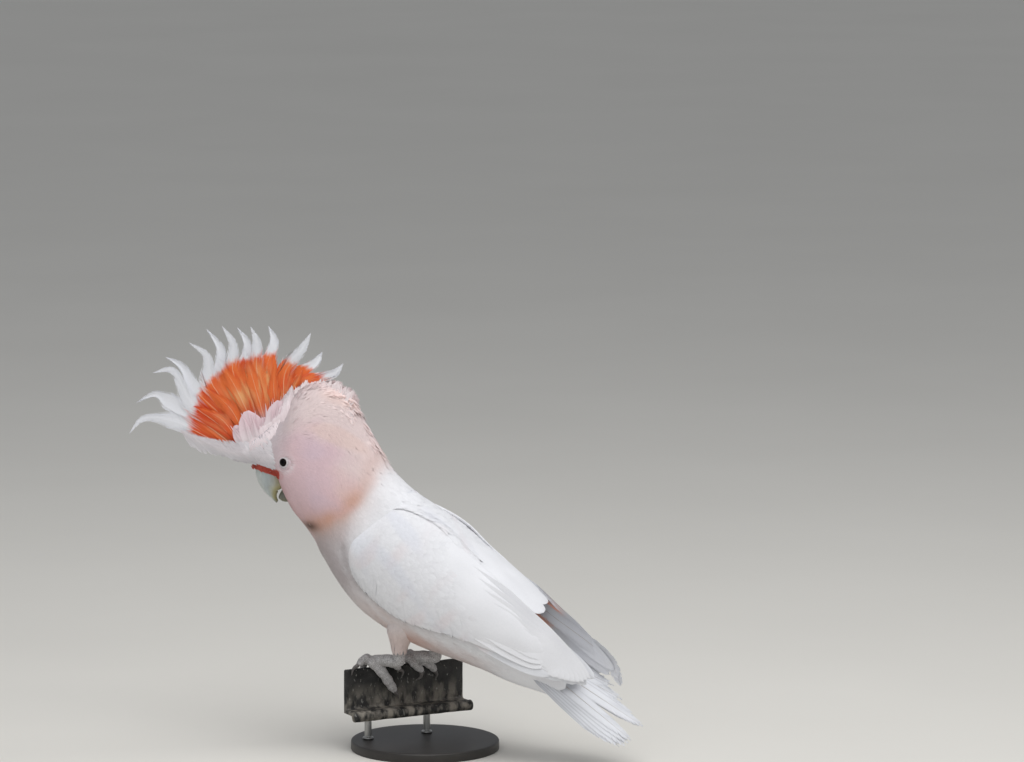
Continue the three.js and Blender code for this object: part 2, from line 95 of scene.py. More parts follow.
# Lower edge, upper edge (bird's right side), bulge outwards, thickness.
WING = [
    [(-25, 33, 101), (-21, 30, 111), 3, 8],
    [(-22, 37, 90), (-15, 27, 123), 6, 9],
    [(-10, 40, 75), (3, 23, 135), 10, 9],
    [(9, 43, 62), (20, 21, 141), 13, 9],
    [(30, 45, 51), (43, 20, 135), 14, 8],
    [(53, 46, 45), (64, 20, 124), 13, 7],
    [(76, 46, 41), (80, 20, 110), 11, 6],
    [(97, 44, 35), (94, 21, 99), 9, 5],
    [(117, 41, 28), (109, 22, 87.5), 7, 4],
    [(135, 37, 22), (125, 23, 74.5), 6, 3.2],
    [(150, 34, 17), (142, 23, 60), 4, 2.6],
    [(160, 31, 17), (157, 23, 48), 3, 2.2],
]
WING_LAST = len(WING) - 1
# How far the right wing's upper edge is tucked under the mantle, by wing section.
TUCKED = [2, 3.2, 4, 5, 6, 7, 8.5, 10, 11], [0, 1.5, 4.5, 6.5, 4.5, 3, 2, 1.5, 1.5]
# Root and tip [x, y, z] of each, the outermost first.
PRIMARIES = [
    [(105, 39, 40), (166, 33, 12)],
    [(110, 37, 46), (176, 30, 8)],
    [(116, 35, 51), (186, 27, 5)],
    [(122, 31, 55), (193, 24, 4)],
    [(128, 27, 57), (199, 21, 9)],
]
PRIMARY_WIDTH = 21
# How far each primary starts ahead of its root, inside the wing.
PRIMARY_HIDDEN = 24
DROOPED_WIDTH = 15
DROOPED_TIP = [(116, 28, 65), (134, 25, 53), (193, 22, 16), (205, 21, -4)]
TERTIAL_ROOF = 9
# Middle line [x, y, z], half width and thickness.
TERTIALS = [
    [(60, 2, 115), 18, 4],
    [(84, 2, 99.5), 23, 7],
    [(103, 2, 86.5), 25, 8],
    [(117, 2, 77), 26, 8],
    [(128, 1, 67), 24, 7],
    [(136, 0, 58), 15, 5],
]
TAIL_ROOT = np.array((125, 0, 23), float)
TAIL_SLOPE = math.radians(30.5)
TAIL_ROLL = math.radians(28)
# The tail coverts leave the body at this section, and end this far along the tail.
TAIL_COVERED_FROM = 17.8
TAIL_COVERED_TO = 80
# Length and spread in degrees of each tail feather as it is worn, from the middle outwards.
TAIL_FAN = {
    "left": [(122, 4.0), (122, 5.2), (122, 6.6), (119, 8.0), (112, 9.0), (104, 9.6)],
    "right": [(120, 3.4), (117, 2.4), (108, 5.2), (91, 10.4), (79, 17.0), (68, 21.0)],
}
# Root, middle and tip [x, z], and width.
CREST = [
    [(-127, 178), (-196, 208), (-226, 193), 12],
    [(-126, 182), (-199, 226), (-221, 219), 13],
    [(-124, 185), (-178, 225), (-205, 246), 14],
    [(-122, 188), (-172, 235), (-195, 259), 15],
    [(-119, 190), (-159, 246), (-173, 273), 16],
    [(-115, 193), (-148, 251), (-159, 284), 17],
    [(-111, 196), (-138, 254), (-144, 288), 17],
    [(-107, 198), (-127, 256), (-132, 286), 17],
    [(-103, 201), (-116, 257), (-119, 288), 17],
    [(-99, 204), (-107, 257), (-105, 288), 17],
    [(-94, 208), (-89, 255), (-67, 284), 17],
    [(-89, 212), (-81, 249), (-59, 267), 17],
    [(-83, 216), (-73, 243), (-40, 258), 16],
]
# Where each crest feather's white blade bends before its tip.
CREST_BENDS = [
    (-214, 206), (-204, 227), (-188, 248.5), (-181, 252), (-158, 262), (-147, 268.5), (-135, 273),
    (-123, 272), (-114, 275), (-100, 276), (-74, 271), (-64, 258.5), (-47, 250),
]
CREST_SPREAD = 3
CREST_CENTRE = (-105, 195)
CREST_RED_RADIUS = 68
# Front line [x, z], back line [x, z], half width, from the face to the tip.
BILL_UPPER = [
    [(-115, 168), (-92, 164), 9],
    [(-115.5, 163), (-91, 158), 9],
    [(-114, 156), (-91, 153), 8],
    [(-111, 150), (-94, 149.5), 6.5],
    [(-107, 145), (-96.5, 147), 4.6],
    [(-102.5, 140.5), (-98, 143.5), 2.6],
    [(-98, 137), (-96.8, 139), 0.9],
]
BILL_LOWER = [
    [(-90, 152), (-80, 143), 7.5],
    [(-93.5, 148), (-86, 139), 7],
    [(-95.5, 144.5), (-91, 138.5), 5.5],
    [(-96.2, 142.5), (-93.6, 140), 3.6],
]
EYE = (-85.2, 26.6, 176)
EYE_RADIUS = 5.2
# Middle [x, z], half depth and half width, from the belly down.
TROUSER = [
    [(22, 44), 15, 12],
    [(19, 34), 13, 11],
    [(16, 25), 9, 9],
    [(15, 18), 7, 7.2],
    [(15, 12), 5.6, 5.8],
]
LEG_SIDE = 14
LEG_STAGGER = 20.6
# Path and radii of the shank, then for each toe its path, its radii and its claw's path.
SHANK = ([(25, 0, 13), (24, 0, 7.5), (12, 0, 7), (1, 0, 5.4), (-5, 0, 4.6)], [5, 5.4, 4.8, 4.8, 3.4])
TOES = {
    "left": {
        "outer_front": (
            [(-2, -3, 6), (-5, -6.6, 8), (-8, -10.6, 4.8)], [3.8, 3.5, 2.9],
            [(-9.3, -12.3, 3), (-11.8, -15.6, 0.6), (-13, -16.4, -4.4)],
        ),
        "inner_front": (
            [(-3, 0, 6), (-8, 4, 6.4), (-12, 7, 0), (-11.5, 7, -7)], [3.8, 3.6, 3.2, 2.6],
            [(-11.2, 7, -9), (-9.6, 6.4, -14), (-5.8, 4.6, -16.6)],
        ),
        "outer_rear": (
            [(1, -4, 5), (8.4, 1.6, -4.6), (12, 6.4, -13.3), (14.6, 10, -20)], [4.2, 4.3, 4, 3.1],
            [(15.4, 11, -22), (17.2, 13.2, -25.4), (17, 14, -29)],
        ),
        "inner_rear": (
            [(3, 0, 4.6), (10, 5, 3.4), (15.5, 10.2, 1.6), (17.6, 13, -1.4)], [3.6, 3.3, 3.3, 2.8],
            [(18.4, 14, -3), (20.4, 16.4, -5.6), (19.6, 15.6, -10)],
        ),
    },
    "right": {
        "outer_front": (
            [(0, 3, 6), (-4, 10, 6.2), (-7.4, 14, 0), (-7, 13.6, -7)], [3.8, 3.5, 3.1, 2.6],
            [(-6.8, 13.2, -9), (-5.2, 12.4, -14), (-1.6, 10.6, -16.4)],
        ),
        "inner_front": (
            [(-3, 0, 6), (-8, 3, 6.4), (-12, 5, 0), (-11.5, 5, -7)], [3.8, 3.6, 3.2, 2.6],
            [(-11.2, 5, -9), (-9.6, 4.4, -14), (-5.8, 2.8, -16.6)],
        ),
        "outer_rear": (
            [(4, 0, 4.6), (10, 5.6, 1.6), (15, 11.6, -3), (16.6, 14.4, -6.4)], [3.8, 3.6, 3.3, 2.8],
            [(17, 15.2, -8), (18, 16.8, -11.4), (17, 16, -15.6)],
        ),
        "inner_rear": (
            [(3, -4, 5), (6, -2.4, 0.6), (9.6, 2.4, -5.2)], [3.8, 3.7, 3.1],
            [(10, 3.2, -7.4), (9.6, 3.2, -11.6), (6.2, 0.2, -14.4)],
        ),
    },
}
SIDES = {"left": -1, "right": 1}

# ---------- Small tools ----------


def smooth(t):
    """0 below 0, 1 above 1, smooth between."""
    t = np.clip(t, 0, 1)
    return t * t * (3 - 2 * t)


def ramp(x, low, high):
    """0 at low, 1 at high, smooth between."""
    return smooth((x - low) / (high - low))


def fade(x, low, high):
    """1 at low, 0 at high, smooth between."""
    return 1 - ramp(x, low, high)


def unit(v):
    """Directions of length 1."""
    return v / np.maximum(np.linalg.norm(v, axis=-1, keepdims=True), 1e-9)


def matched(*values):
    """Numbers and arrays as arrays of one shape."""
    return np.broadcast_arrays(*(np.asarray(value, float) for value in values))


def stacked(*parts):
    """Coordinates as points: numbers and arrays side by side on a last axis."""
    return np.stack(matched(*parts), -1)


def bell(x, middle, width):
    """1 at the middle, falling off on both sides."""
    return np.exp(-(((x - middle) / width) ** 2))


def arch(start, hold, end, t):
    """From start at t = 0 to end at t = 1, drawn towards hold on the way."""
    return start * (1 - t) ** 2 + 2 * hold * t * (1 - t) + end * t**2


def turns(count):
    """Angles evenly round a circle."""
    return np.arange(count) * 2 * math.pi / count


def grid_of(first, second):
    """Two arrays of every pair of these values, row by row."""
    return np.meshgrid(first, second, indexing="ij")


def place(p):
    """Bird frame in millimetres to row frame in metres."""
    p = np.asarray(p, float)
    turn = HEAD_TURN * smooth((NECK_START - p[..., 0]) / NECK_LENGTH)
    back = p[..., 0] - NECK_START
    x = NECK_START + back * np.cos(turn) - p[..., 1] * np.sin(turn)
    y = back * np.sin(turn) + p[..., 1] * np.cos(turn)
    east = x * math.cos(YAW) + y * math.sin(YAW)
    north = y * math.cos(YAW) - x * math.sin(YAW)
    return MILLIMETRE * (np.array(FEET) + stacked(east, north, p[..., 2]))


def on_rim(along, out, z):
    """A point beside the rim: along it, out towards its ledge, and up from its top."""
    east = along * math.cos(RIM_TURN) + out * math.sin(RIM_TURN)
    north = along * math.sin(RIM_TURN) - out * math.cos(RIM_TURN)
    return MILLIMETRE * (np.array(FEET) + stacked(east, north, z))


class Curve:
    """A centripetal Catmull-Rom curve. at(t) passes the points at t = 0, 1, 2 and so on."""

    def __init__(self, points):
        p = np.array(points, float)
        p = np.vstack([2 * p[0] - p[1], p, 2 * p[-1] - p[-2]])
        gap = np.maximum((np.diff(p, axis=0) ** 2).sum(1) ** 0.25, 1e-4)[:, None]
        a, b, c, d = p[:-3], p[1:-2], p[2:-1], p[3:]
        g, h, k = gap[:-2], gap[1:-1], gap[2:]
        first = ((b - a) / g - (c - a) / (g + h) + (c - b) / h) * h
        second = ((c - b) / h - (d - b) / (h + k) + (d - c) / k) * h
        square, cube = 3 * (c - b) - 2 * first - second, 2 * (b - c) + first + second
        self.terms = np.stack([b, first, square, cube])
        self.last = len(b)

    def at(self, t):
        t = np.asarray(t, float)
        i = np.clip(t.astype(int), 0, self.last - 1)
        w = (t - i)[..., None]
        inside = np.clip(w, 0, 1)
        c0, c1, c2, c3 = (term[i] for term in self.terms)
        slope = c1 + inside * (2 * c2 + 3 * inside * c3)
        return c0 + inside * (c1 + inside * (c2 + inside * c3)) + (w - inside) * slope

    def heading(self, t):
        t = np.asarray(t, float)
        return unit(self.at(t + 0.01) - self.at(t - 0.01))


def rounded(x, power):
    """A power that keeps the sign."""
    return np.sign(x) * np.abs(x) ** power


def rgb(r, g, b):
    """A screen colour, 0 to 255, as linear light."""
    c = np.array([r, g, b]) / 255
    return np.where(c < 0.04045, c / 12.92, ((c + 0.055) / 1.055) ** 2.4)


def noise(p, size, seed):
    """Smooth noise between -1 and 1 at points p, with features about size millimetres across."""
    q = np.asarray(p, float) / size
    total = np.zeros(q.shape[:-1])
    local = np.random.default_rng(seed)
    for _ in range(5):
        k = local.normal(0, 1.6, 3)
        total = total + np.sin(q @ k + local.uniform(0, 6.3))
    return total / 3.2


def mesh_object(name, points, faces, colours=None, uv=None, barbs=None):
    """A mesh of row-frame points. faces is one array of corners or a list of them."""
    groups = faces if isinstance(faces, list) else [faces]
    groups = [np.asarray(g, np.int32) for g in groups if len(g)]
    me = bpy.data.meshes.new(name)
    me.vertices.add(len(points))
    me.vertices.foreach_set("co", np.asarray(points, np.float32).ravel())
    corners = np.concatenate([g.ravel() for g in groups])
    sizes = np.concatenate([np.full(len(g), g.shape[1], np.int32) for g in groups])
    me.loops.add(len(corners))
    me.loops.foreach_set("vertex_index", corners)
    me.polygons.add(len(sizes))
    starts = np.concatenate([[0], np.cumsum(sizes)[:-1]])
    me.polygons.foreach_set("loop_start", starts.astype(np.int32))
    me.polygons.foreach_set("loop_total", sizes)
    me.polygons.foreach_set("use_smooth", np.full(len(sizes), True))
    me.update(calc_edges=True)
    if colours is not None:
        layer = me.color_attributes.new("Tint", "FLOAT_COLOR", "POINT")
        filled = np.ones((len(points), 4), np.float32)
        filled[:, :3] = np.clip(colours, 0, 1)
        layer.data.foreach_set("color", filled.ravel())
    if barbs is not None:
        layer = me.attributes.new("Barb", "FLOAT", "POINT")
        layer.data.foreach_set("value", np.asarray(barbs, np.float32))
    if uv is not None:
        layer = me.uv_layers.new(name="OFBake")
        layer.data.foreach_set("uv", np.asarray(uv, np.float32)[corners].ravel())
    me.validate()
    ob = bpy.data.objects.new(name, me)
    bpy.context.scene.collection.objects.link(ob)
    return ob


def grid_faces(rows, columns, wrap=False):
    """Quads of a grid of vertices, row by row."""
    r, c = grid_of(np.arange(rows - 1), np.arange(columns if wrap else columns - 1))
    here, beside = r * columns + c, r * columns + (c + 1) % columns
    return np.stack([here, beside, beside + columns, here + columns], -1).reshape(-1, 4)


class Heap:
    """Collects vertices, faces and their values, and makes one mesh of them."""

    def __init__(self):
        self.points, self.colours, self.uv, self.barbs, self.quads = [], [], [], [], []
        self.count = 0

    def add(self, points, quads, colours, uv, barbs):
        """points is (n, vertices, 3) for n like pieces; quads is for one of them."""
        n, m = points.shape[:2]
        start = self.count + np.arange(n)[:, None, None] * m
        self.points.append(points.reshape(-1, 3))
        self.quads.append((np.asarray(quads)[None] + start).reshape(-1, np.shape(quads)[1]))
        self.colours.append(np.broadcast_to(colours, points.shape).reshape(-1, 3))
        self.uv.append(np.broadcast_to(uv, (n, m, 2)).reshape(-1, 2))
        self.barbs.append(np.broadcast_to(barbs, (n, m)).reshape(-1))
        self.count += n * m

    def finish(self, name, placed=place):
        """The mesh. placed turns the points into the row frame."""
        collected = (self.points, self.colours, self.uv, self.barbs)
        points, colours, uv, barbs = (np.concatenate(values) for values in collected)
        return mesh_object(name, placed(points), self.quads, colours, uv, barbs)


# ---------- Surfaces of the bird ----------

BACK_LINE = Curve([b[0] for b in BODY])
BELLY_LINE = Curve([b[1] for b in BODY])
# In the girth's curve the narrowing is scaled up, to count beside the width.
NARROWING = 20
GIRTH = Curve([(b[2], b[3] * NARROWING, i) for i, b in enumerate(BODY)])


def body(s, angle, lift=0):
    """The body's surface at section s, angle round it (0 at the back, right side positive)."""
    back, belly, girth = BACK_LINE.at(s), BELLY_LINE.at(s), GIRTH.at(s)
    up = (back - belly) / 2
    height = np.linalg.norm(up, axis=-1)
    along = up / height[..., None] * ((height + lift) * np.cos(angle))[..., None]
    narrow = 1 - girth[..., 1] / NARROWING * np.cos(angle)
    wide = (girth[..., 0] + lift) * rounded(np.sin(angle), 0.9) * narrow
    middle = (back + belly) / 2 + along
    return stacked(middle[..., 0], wide, middle[..., 1])


WING_LOW = Curve([w[0] for w in WING])
WING_HIGH = Curve([w[1] for w in WING])
WING_FORM = Curve([(w[2], w[3], i) for i, w in enumerate(WING)])
WING_AXIS = unit(np.array((0.86, 0, -0.5)))


def chord(low, high):
    """The way from a wing's lower edge to its upper one, how far that is, and the way it faces."""
    across = high - low
    width = np.linalg.norm(across, axis=-1)
    across = across / width[..., None]
    normal = unit(np.cross(WING_AXIS, across))
    return across, width, normal * np.sign(normal[..., 1:2])


def wing(side):
    """The outer face of a folded wing at section v, and q from -1 at its lower edge to 1 at the top.
    v under 0 wraps round its front edge, and q past 1 round its other edges."""

    def surface(v, q, lift=0):
        v, q = matched(v, q)
        within = np.maximum(v, 0)
        low, high, form = WING_LOW.at(within), WING_HIGH.at(within), WING_FORM.at(within)
        if side > 0:
            high = high - np.array([0, 0, 1]) * np.interp(within, *TUCKED)[..., None]
        across, width, normal = chord(low, high)
        s = np.clip(q, -1, 1)
        around = np.clip((np.abs(q) - 1) * 3.0, 0, 1) * math.pi
        front = np.clip(-v * 3.0, 0, 1) * math.pi
        half = form[..., 1] / 2 * np.maximum(1 - np.abs(s) ** 2.5, 0.02) ** 0.3
        rise = form[..., 0] * (1 - s * s) + (half + lift) * np.cos(front) * np.cos(around)
        sideways = s * width / 2 + np.sign(q) * np.sin(around) * (1 + lift)
        p = (low + high) / 2 + across * sideways[..., None] + normal * rise[..., None]
        p = p - WING_AXIS * (np.sin(front) * (half + lift))[..., None]
        return p * np.array([1, side, 1])

    return surface


TERTIAL_LINE = Curve([t[0] for t in TERTIALS])
TERTIAL_FORM = Curve([(t[1], t[2], i) for i, t in enumerate(TERTIALS)])
THIGH_LINE = Curve([(t[0][0], 0, t[0][1]) for t in TROUSER])
THIGH_SIZE = Curve([(t[1], t[2], i) for i, t in enumerate(TROUSER)])


def thigh(side):
    """The trousered thigh at section v, from the belly down, and angle round it."""

    def surface(v, angle, lift=0):
        line, size = THIGH_LINE.at(v), THIGH_SIZE.at(v)
        share = np.asarray(v, float) / (len(TROUSER) - 1)
        stagger = LEG_STAGGER * smooth(share) if side > 0 else 0
        x = line[..., 0] + (size[..., 0] + lift) * np.cos(angle) + stagger
        y = side * (LEG_SIDE + 5 * (1 - smooth(share * 1.5))) + (size[..., 1] + lift) * np.sin(angle)
        return stacked(x, y, line[..., 2])

    return surface


def foot_place(side):
    """Foot frame to row frame: the left foot stands ahead of the right one."""
    shift = np.array([side * LEG_STAGGER / 2, side * LEG_SIDE, 0])
    return lambda p: place(np.asarray(p) + shift)


# ---------- Markings ----------

WHITE = rgb(236, 236, 239)
CROWN = rgb(202, 191, 195)
FACE = rgb(226, 196, 200)
CHEEK = rgb(221, 193, 199)
LILAC = rgb(209, 190, 204)
WARM = rgb(229, 202, 194)
NAPE = rgb(227, 208, 206)
COLLAR = rgb(204, 160, 142)
CHIN_SHADOW = rgb(82, 58, 48)
CERE = rgb(190, 84, 70)
BREAST_IN_SHADE = rgb(182, 173, 174)
BELLY = rgb(208, 192, 188)
VENT = rgb(200, 156, 138)
WING_EDGE_SHADE = rgb(140, 130, 130)
THIGH = rgb(226, 216, 215)
PINK_WHITE = rgb(234, 214, 218)
CREST_RED = rgb(231, 80, 38)
CREST_ORANGE = rgb(246, 124, 64)
CREST_YELLOW = rgb(248, 188, 126)
RACHIS = rgb(240, 205, 170)
TIP_WHITE = rgb(240, 241, 246)
ARC_PALE = rgb(240, 232, 234)
# Fine pale arcs round the eye, this far apart, and only where the head is at least this far out.
ARC_SPACING = 1.9
FLANK = 12

COLLAR_EDGE = [
    (-68, 121), (-50, 127), (-38, 131.5), (-28, 137), (-20, 144), (-15, 152), (-11, 162), (-8, 176),
]
COLLAR_LINE = Curve(COLLAR_EDGE)
CERE_LINE = Curve([(-118, 171), (-106, 169), (-97, 166.2), (-89.5, 164.5)])
WING_EDGE = Curve([(-26, 106), (-22, 89), (-10, 73), (9, 60), (30, 49), (53, 43), (76, 39), (97, 33)])
CHEEK_EDGE = Curve([(-94, 160), (-87.5, 150), (-85, 140.5), (-80, 134), (-75, 124)])


def mix(a, b, share):
    """From a at share 0 to b at share 1."""
    return a + (b - a) * np.asarray(share)[..., None]


def distance_to(curve, x, z):
    """Distance in the side view from points to a curve, and how far along it the nearest place is."""
    steps = 24
    best = np.full(np.shape(x), 1e9)
    where = np.zeros(np.shape(x))
    for k in range(steps + 1):
        q = curve.at(k * curve.last / steps)
        d = np.hypot(x - q[0], z - q[1])
        where = np.where(d < best, k / steps, where)
        best = np.minimum(d, best)
    return best, where


def plumage(p, s):
    """Colour of the body's coat at points p, at section s of the body."""
    x, y, z = p[..., 0], p[..., 1], p[..., 2]
    back, belly = BACK_LINE.at(s), BELLY_LINE.at(s)
    span = back - belly
    level = ((x - belly[..., 0]) * span[..., 0] + (z - belly[..., 1]) * span[..., 1]) / (span**2).sum(-1)
    low = 1 - np.clip(level, 0, 1)
    cloud = noise(p, 9, 3)
    # trunk, with the breast's pink greyed and darkened as painted shade
    under = ramp(low + 0.05 * cloud, 0.62, 0.92)
    colour = mix(WHITE, BREAST_IN_SHADE, under * fade(s, 10, 12.5))
    colour = mix(colour, BELLY, under * ramp(s, 10, 12.5) * fade(s, 15, 16.5))
    vent = bell(x, 28, 22) * bell(z, 26, 12)
    colour = mix(colour, VENT, 0.75 * vent * under)
    # throat and the front of the neck, in the breast's colour with its painted shade
    throat = ramp(low, 0.25, 0.7) * ramp(s, 5.6, 6.6) * fade(s, 8.5, 10.5)
    colour = mix(colour, BREAST_IN_SHADE, 0.8 * throat)
    # painted shade on the body where the wing's front and lower edge lies over it
    by_wing = distance_to(WING_EDGE, x, z)[0]
    wing_shade = bell(by_wing, 0, 4.5) * ramp(np.abs(y), 14, 24)
    colour = mix(colour, WING_EDGE_SHADE, 0.55 * wing_shade)
    # head, as far back as the collar
    edge_x, edge_z = zip(*COLLAR_EDGE)
    behind = x - np.interp(z, edge_z, edge_x)
    on_head = fade(behind + 3 * cloud, -3, 13)
    patch = noise(p, 15, 9)
    head = mix(NAPE, CHEEK, ramp(low + 0.05 * cloud, 0.16, 0.44))
    head = mix(head, LILAC, 0.4 * ramp(patch, 0.1, 0.8) * ramp(low, 0.2, 0.5))
    head = mix(head, WARM, 0.6 * ramp(-patch, 0.0, 0.8) * fade(low, 0.45, 0.75))
    front = fade(x, -82, -58)
    head = mix(head, FACE, front * ramp(low, 0.2, 0.45))
    head = mix(head, CROWN, fade(s + 2.2 * low, 2.3, 5.2))
    # fine pale arcs under and behind the eye
    ex, ez = x - EYE[0], z - EYE[2]
    away = np.hypot(ex, ez)
    arcs = (0.55 + 0.45 * np.cos(away * 2 * math.pi / ARC_SPACING)) * bell(away, 7.5, 3)
    arcs = arcs * (0.35 + 0.65 * np.clip((0.5 * ex - 0.85 * ez) / (away + 1), 0, 1)) * (np.abs(y) > FLANK)
    head = mix(head, ARC_PALE, 0.85 * arcs)
    colour = mix(colour, head, on_head)
    # collar
    away, along = distance_to(COLLAR_LINE, x, z)
    strength = 0.56 * bell(away, 0, 7.5) + 0.32 * bell(away, 0, 18)
    strength = strength * (1 - 0.72 * ramp(along, 0.45, 1.0)) * ramp(along, -0.2, 0.1)
    colour = mix(colour, COLLAR, np.clip(strength * (1 + 0.2 * cloud), 0, 1))
    # painted shadow: a dark band under the chin
    chin_shadow = bell(x, -61, 9) * bell(z, 122.5, 4.2) * np.exp(-((y / 32) ** 4))
    colour = mix(colour, CHIN_SHADOW, np.clip(1.4 * chin_shadow, 0, 0.9))
    # red band over the bill and along the edge of the cheek
    band, along = distance_to(CERE_LINE, x, z)
    red = fade(band, 3.0, 4.6) * fade(s, 3.4, 3.9) * (1 - 0.75 * ramp(along, 0.9, 1.0))
    edge = bell(distance_to(CHEEK_EDGE, x, z)[0], 0, 4) * fade(s, 5, 6)
    colour = mix(colour, mix(CHEEK, CERE, 0.5), 0.5 * edge)
    colour = mix(colour, CERE, red * (0.9 + 0.1 * cloud))
    return colour


# ---------- Skin ----------


def coat_depth(s):
    """How far the skin lies under the body's own surface, which the coat fills."""
    return 0.6 + 0.3 * ramp(s, 2.5, 5.5) + 0.6 * ramp(s, 6.0, 9.5)


def closed_tube(points):
    """Vertices and faces of a closed tube from rings of points, with a point at each end's middle."""
    rings, around = points.shape[:2]
    quads = grid_faces(rings, around, wrap=True)
    vertices = np.vstack([points.reshape(-1, 3), points[0].mean(0), points[-1].mean(0)])
    k = np.arange(around)
    n = (k + 1) % around
    first, last = np.full(around, rings * around), np.full(around, rings * around + 1)
    end = (rings - 1) * around
    caps = np.vstack([np.stack([n, k, first], -1), np.stack([end + k, end + n, last], -1)])
    return vertices, quads, caps


def wing_shell(side, v, angle, lift):
    """A closed folded wing at section v, angle round it."""
    low, high, form = WING_LOW.at(v), WING_HIGH.at(v), WING_FORM.at(v)
    across, width, normal = chord(low, high)
    s = rounded(np.cos(angle), 0.8)
    rise = form[..., 0] * (1 - s * s) + (form[..., 1] / 2 + lift) * rounded(np.sin(angle), 0.6)
    p = (low + high) / 2 + across * (s * (width / 2 + lift))[..., None] + normal * rise[..., None]
    return p * np.array([1, side, 1])


def lobe_shell(v, angle, lift):
    """The right wing's inner feathers as one closed shape that lies over the back."""
    line, form, tangent = TERTIAL_LINE.at(v), TERTIAL_FORM.at(v), TERTIAL_LINE.heading(v)
    normal = unit(np.cross(np.array((0, 1.0, 0)), tangent))
    normal = normal * np.sign(normal[..., 2:3])
    s = rounded(np.cos(angle), 0.9)
    rise = (form[..., 1] / 2 + lift) * rounded(np.sin(angle), 0.7) - TERTIAL_ROOF * s * s
    p = line + normal * (rise * np.abs(normal[..., 2]))[..., None]
    p[..., 1] += s * (form[..., 0] + lift)
    return p


def rings(count, last, around):
    """Sections from 0 to last, and angles round each of them."""
    return grid_of(np.linspace(0, last, count), turns(around))


def remeshed(name, shells, voxel, smoothing):
    """One closed mesh round all these tubes, in their own millimetres. Returns points and faces."""
    points, faces, start = [], [], 0
    for grid in shells:
        v, quads, caps = closed_tube(grid)
        points.append(v)
        faces += [quads + start, caps + start]
        start += len(v)
    ob = mesh_object(name, np.concatenate(points) * MILLIMETRE, faces)
    remesh = ob.modifiers.new("remesh", "REMESH")
    remesh.mode = "VOXEL"
    remesh.voxel_size = voxel * MILLIMETRE
    smoother = ob.modifiers.new("smooth", "SMOOTH")
    smoother.factor = 0.5
    smoother.iterations = smoothing
    depsgraph = bpy.context.evaluated_depsgraph_get()
    made = bpy.data.meshes.new_from_object(ob.evaluated_get(depsgraph))
    bpy.data.objects.remove(ob)
    v = np.zeros(len(made.vertices) * 3)
    made.vertices.foreach_get("co", v)
    f = np.zeros(len(made.loops), np.int32)
    made.loops.foreach_get("vertex_index", f)
    sizes = np.zeros(len(made.polygons), np.int32)
    made.polygons.foreach_get("loop_total", sizes)
    starts = np.concatenate([[0], np.cumsum(sizes)[:-1]])
    quads = [f[starts[sizes == n][:, None] + np.arange(n)] for n in (3, 4) if (sizes == n).any()]
    bpy.data.meshes.remove(made)
    return v.reshape(-1, 3) / MILLIMETRE, quads


def tree_of(points):
    """A search tree of points."""
    tree = KDTree(len(points))
    for i, q in enumerate(points):
        tree.insert(q, i)
    tree.balance()
    return tree


# Last section of the wings, thighs and lobe that the skin takes in.
WING_SKIN_END, THIGH_SKIN_END, LOBE_SKIN_END = 8.8, 3.4, 4.6
SKIN_VOXEL, SKIN_SMOOTHING = 1.7, 6

s, a = rings(130, LAST, 72)
shells = [body(s, a, -coat_depth(s))]
for side in SIDES.values():
    shells.append(wing_shell(side, *rings(50, WING_SKIN_END, 48), -1.0))
    shells.append(thigh(side)(*rings(16, THIGH_SKIN_END, 32), -1.2))
shells.append(lobe_shell(*rings(30, LOBE_SKIN_END, 40), -1.3))
skin_points, skin_faces = remeshed("skin_shells", shells, SKIN_VOXEL, SKIN_SMOOTHING)

sections, angles = rings(120, LAST, 60)
sample = body(sections, angles).reshape(-1, 3)
sample_tree = tree_of(sample)
_, nearest, off_body = zip(*(sample_tree.find(q) for q in skin_points))
skin_section = sections.ravel()[list(nearest)]
skin_tint = plumage(skin_points, skin_section)
skin_tint = mix(skin_tint, WHITE, ramp(np.array(off_body), 7, 11) * ramp(skin_section, 7, 9))
skin = mesh_object("skin", place(skin_points), skin_faces, skin_tint)


# ---------- Small feathers ----------


def vane(rows, columns, widths):
    """A leaf-shaped vane: f along it, g across it from -1 to 1 with its outline, and its faces."""
    f = np.linspace(0, 1, rows) ** 0.85
    g = np.linspace(-1, 1, columns)
    outline = np.interp(f, np.linspace(0, 1, len(widths)), widths)
    ff, gg = grid_of(f, g)
    return ff.ravel(), gg.ravel(), np.repeat(outline, columns), grid_faces(rows, columns)


# Each outline is the vane's width at even steps from its root to its tip.
TUFT = vane(4, 3, [0.5, 0.9, 1.0, 0.75, 0.12])
PLUME = vane(5, 3, [0.5, 0.9, 1.0, 0.9, 0.6, 0.1])
SOFT = vane(5, 3, [0.5, 0.9, 1.0, 1.0, 0.92, 0.4])
CONTOUR = vane(6, 5, [0.45, 0.8, 1.0, 1.0, 0.86, 0.3])
COVERT = vane(9, 7, [0.5, 0.8, 0.95, 1.0, 1.0, 0.97, 0.86, 0.6, 0.2])


def own_tones(n, vary):
    """Each feather a little lighter or darker than the next."""
    return 1 + vary * rng.standard_normal((n, 1, 1))


def own_patch(f, g, outline):
    """A feather's own small patch of the unwrapped map."""
    return stacked(0.0015 * g * outline, 0.003 * (f - 0.5))


def barb_lines(f, g, outline, length, width):
    """Runs evenly from one barb to the next, mostly across the feather."""
    return 2.0 * g * outline * width / 2 + 0.2 * f * length


def derivatives(surface, u, v):
    """How a surface's point moves with u and with v."""
    step = 1e-3
    along = (surface(u + step, v) - surface(u - step, v)) / (2 * step)
    return along, (surface(u, v + step) - surface(u, v - step)) / (2 * step)


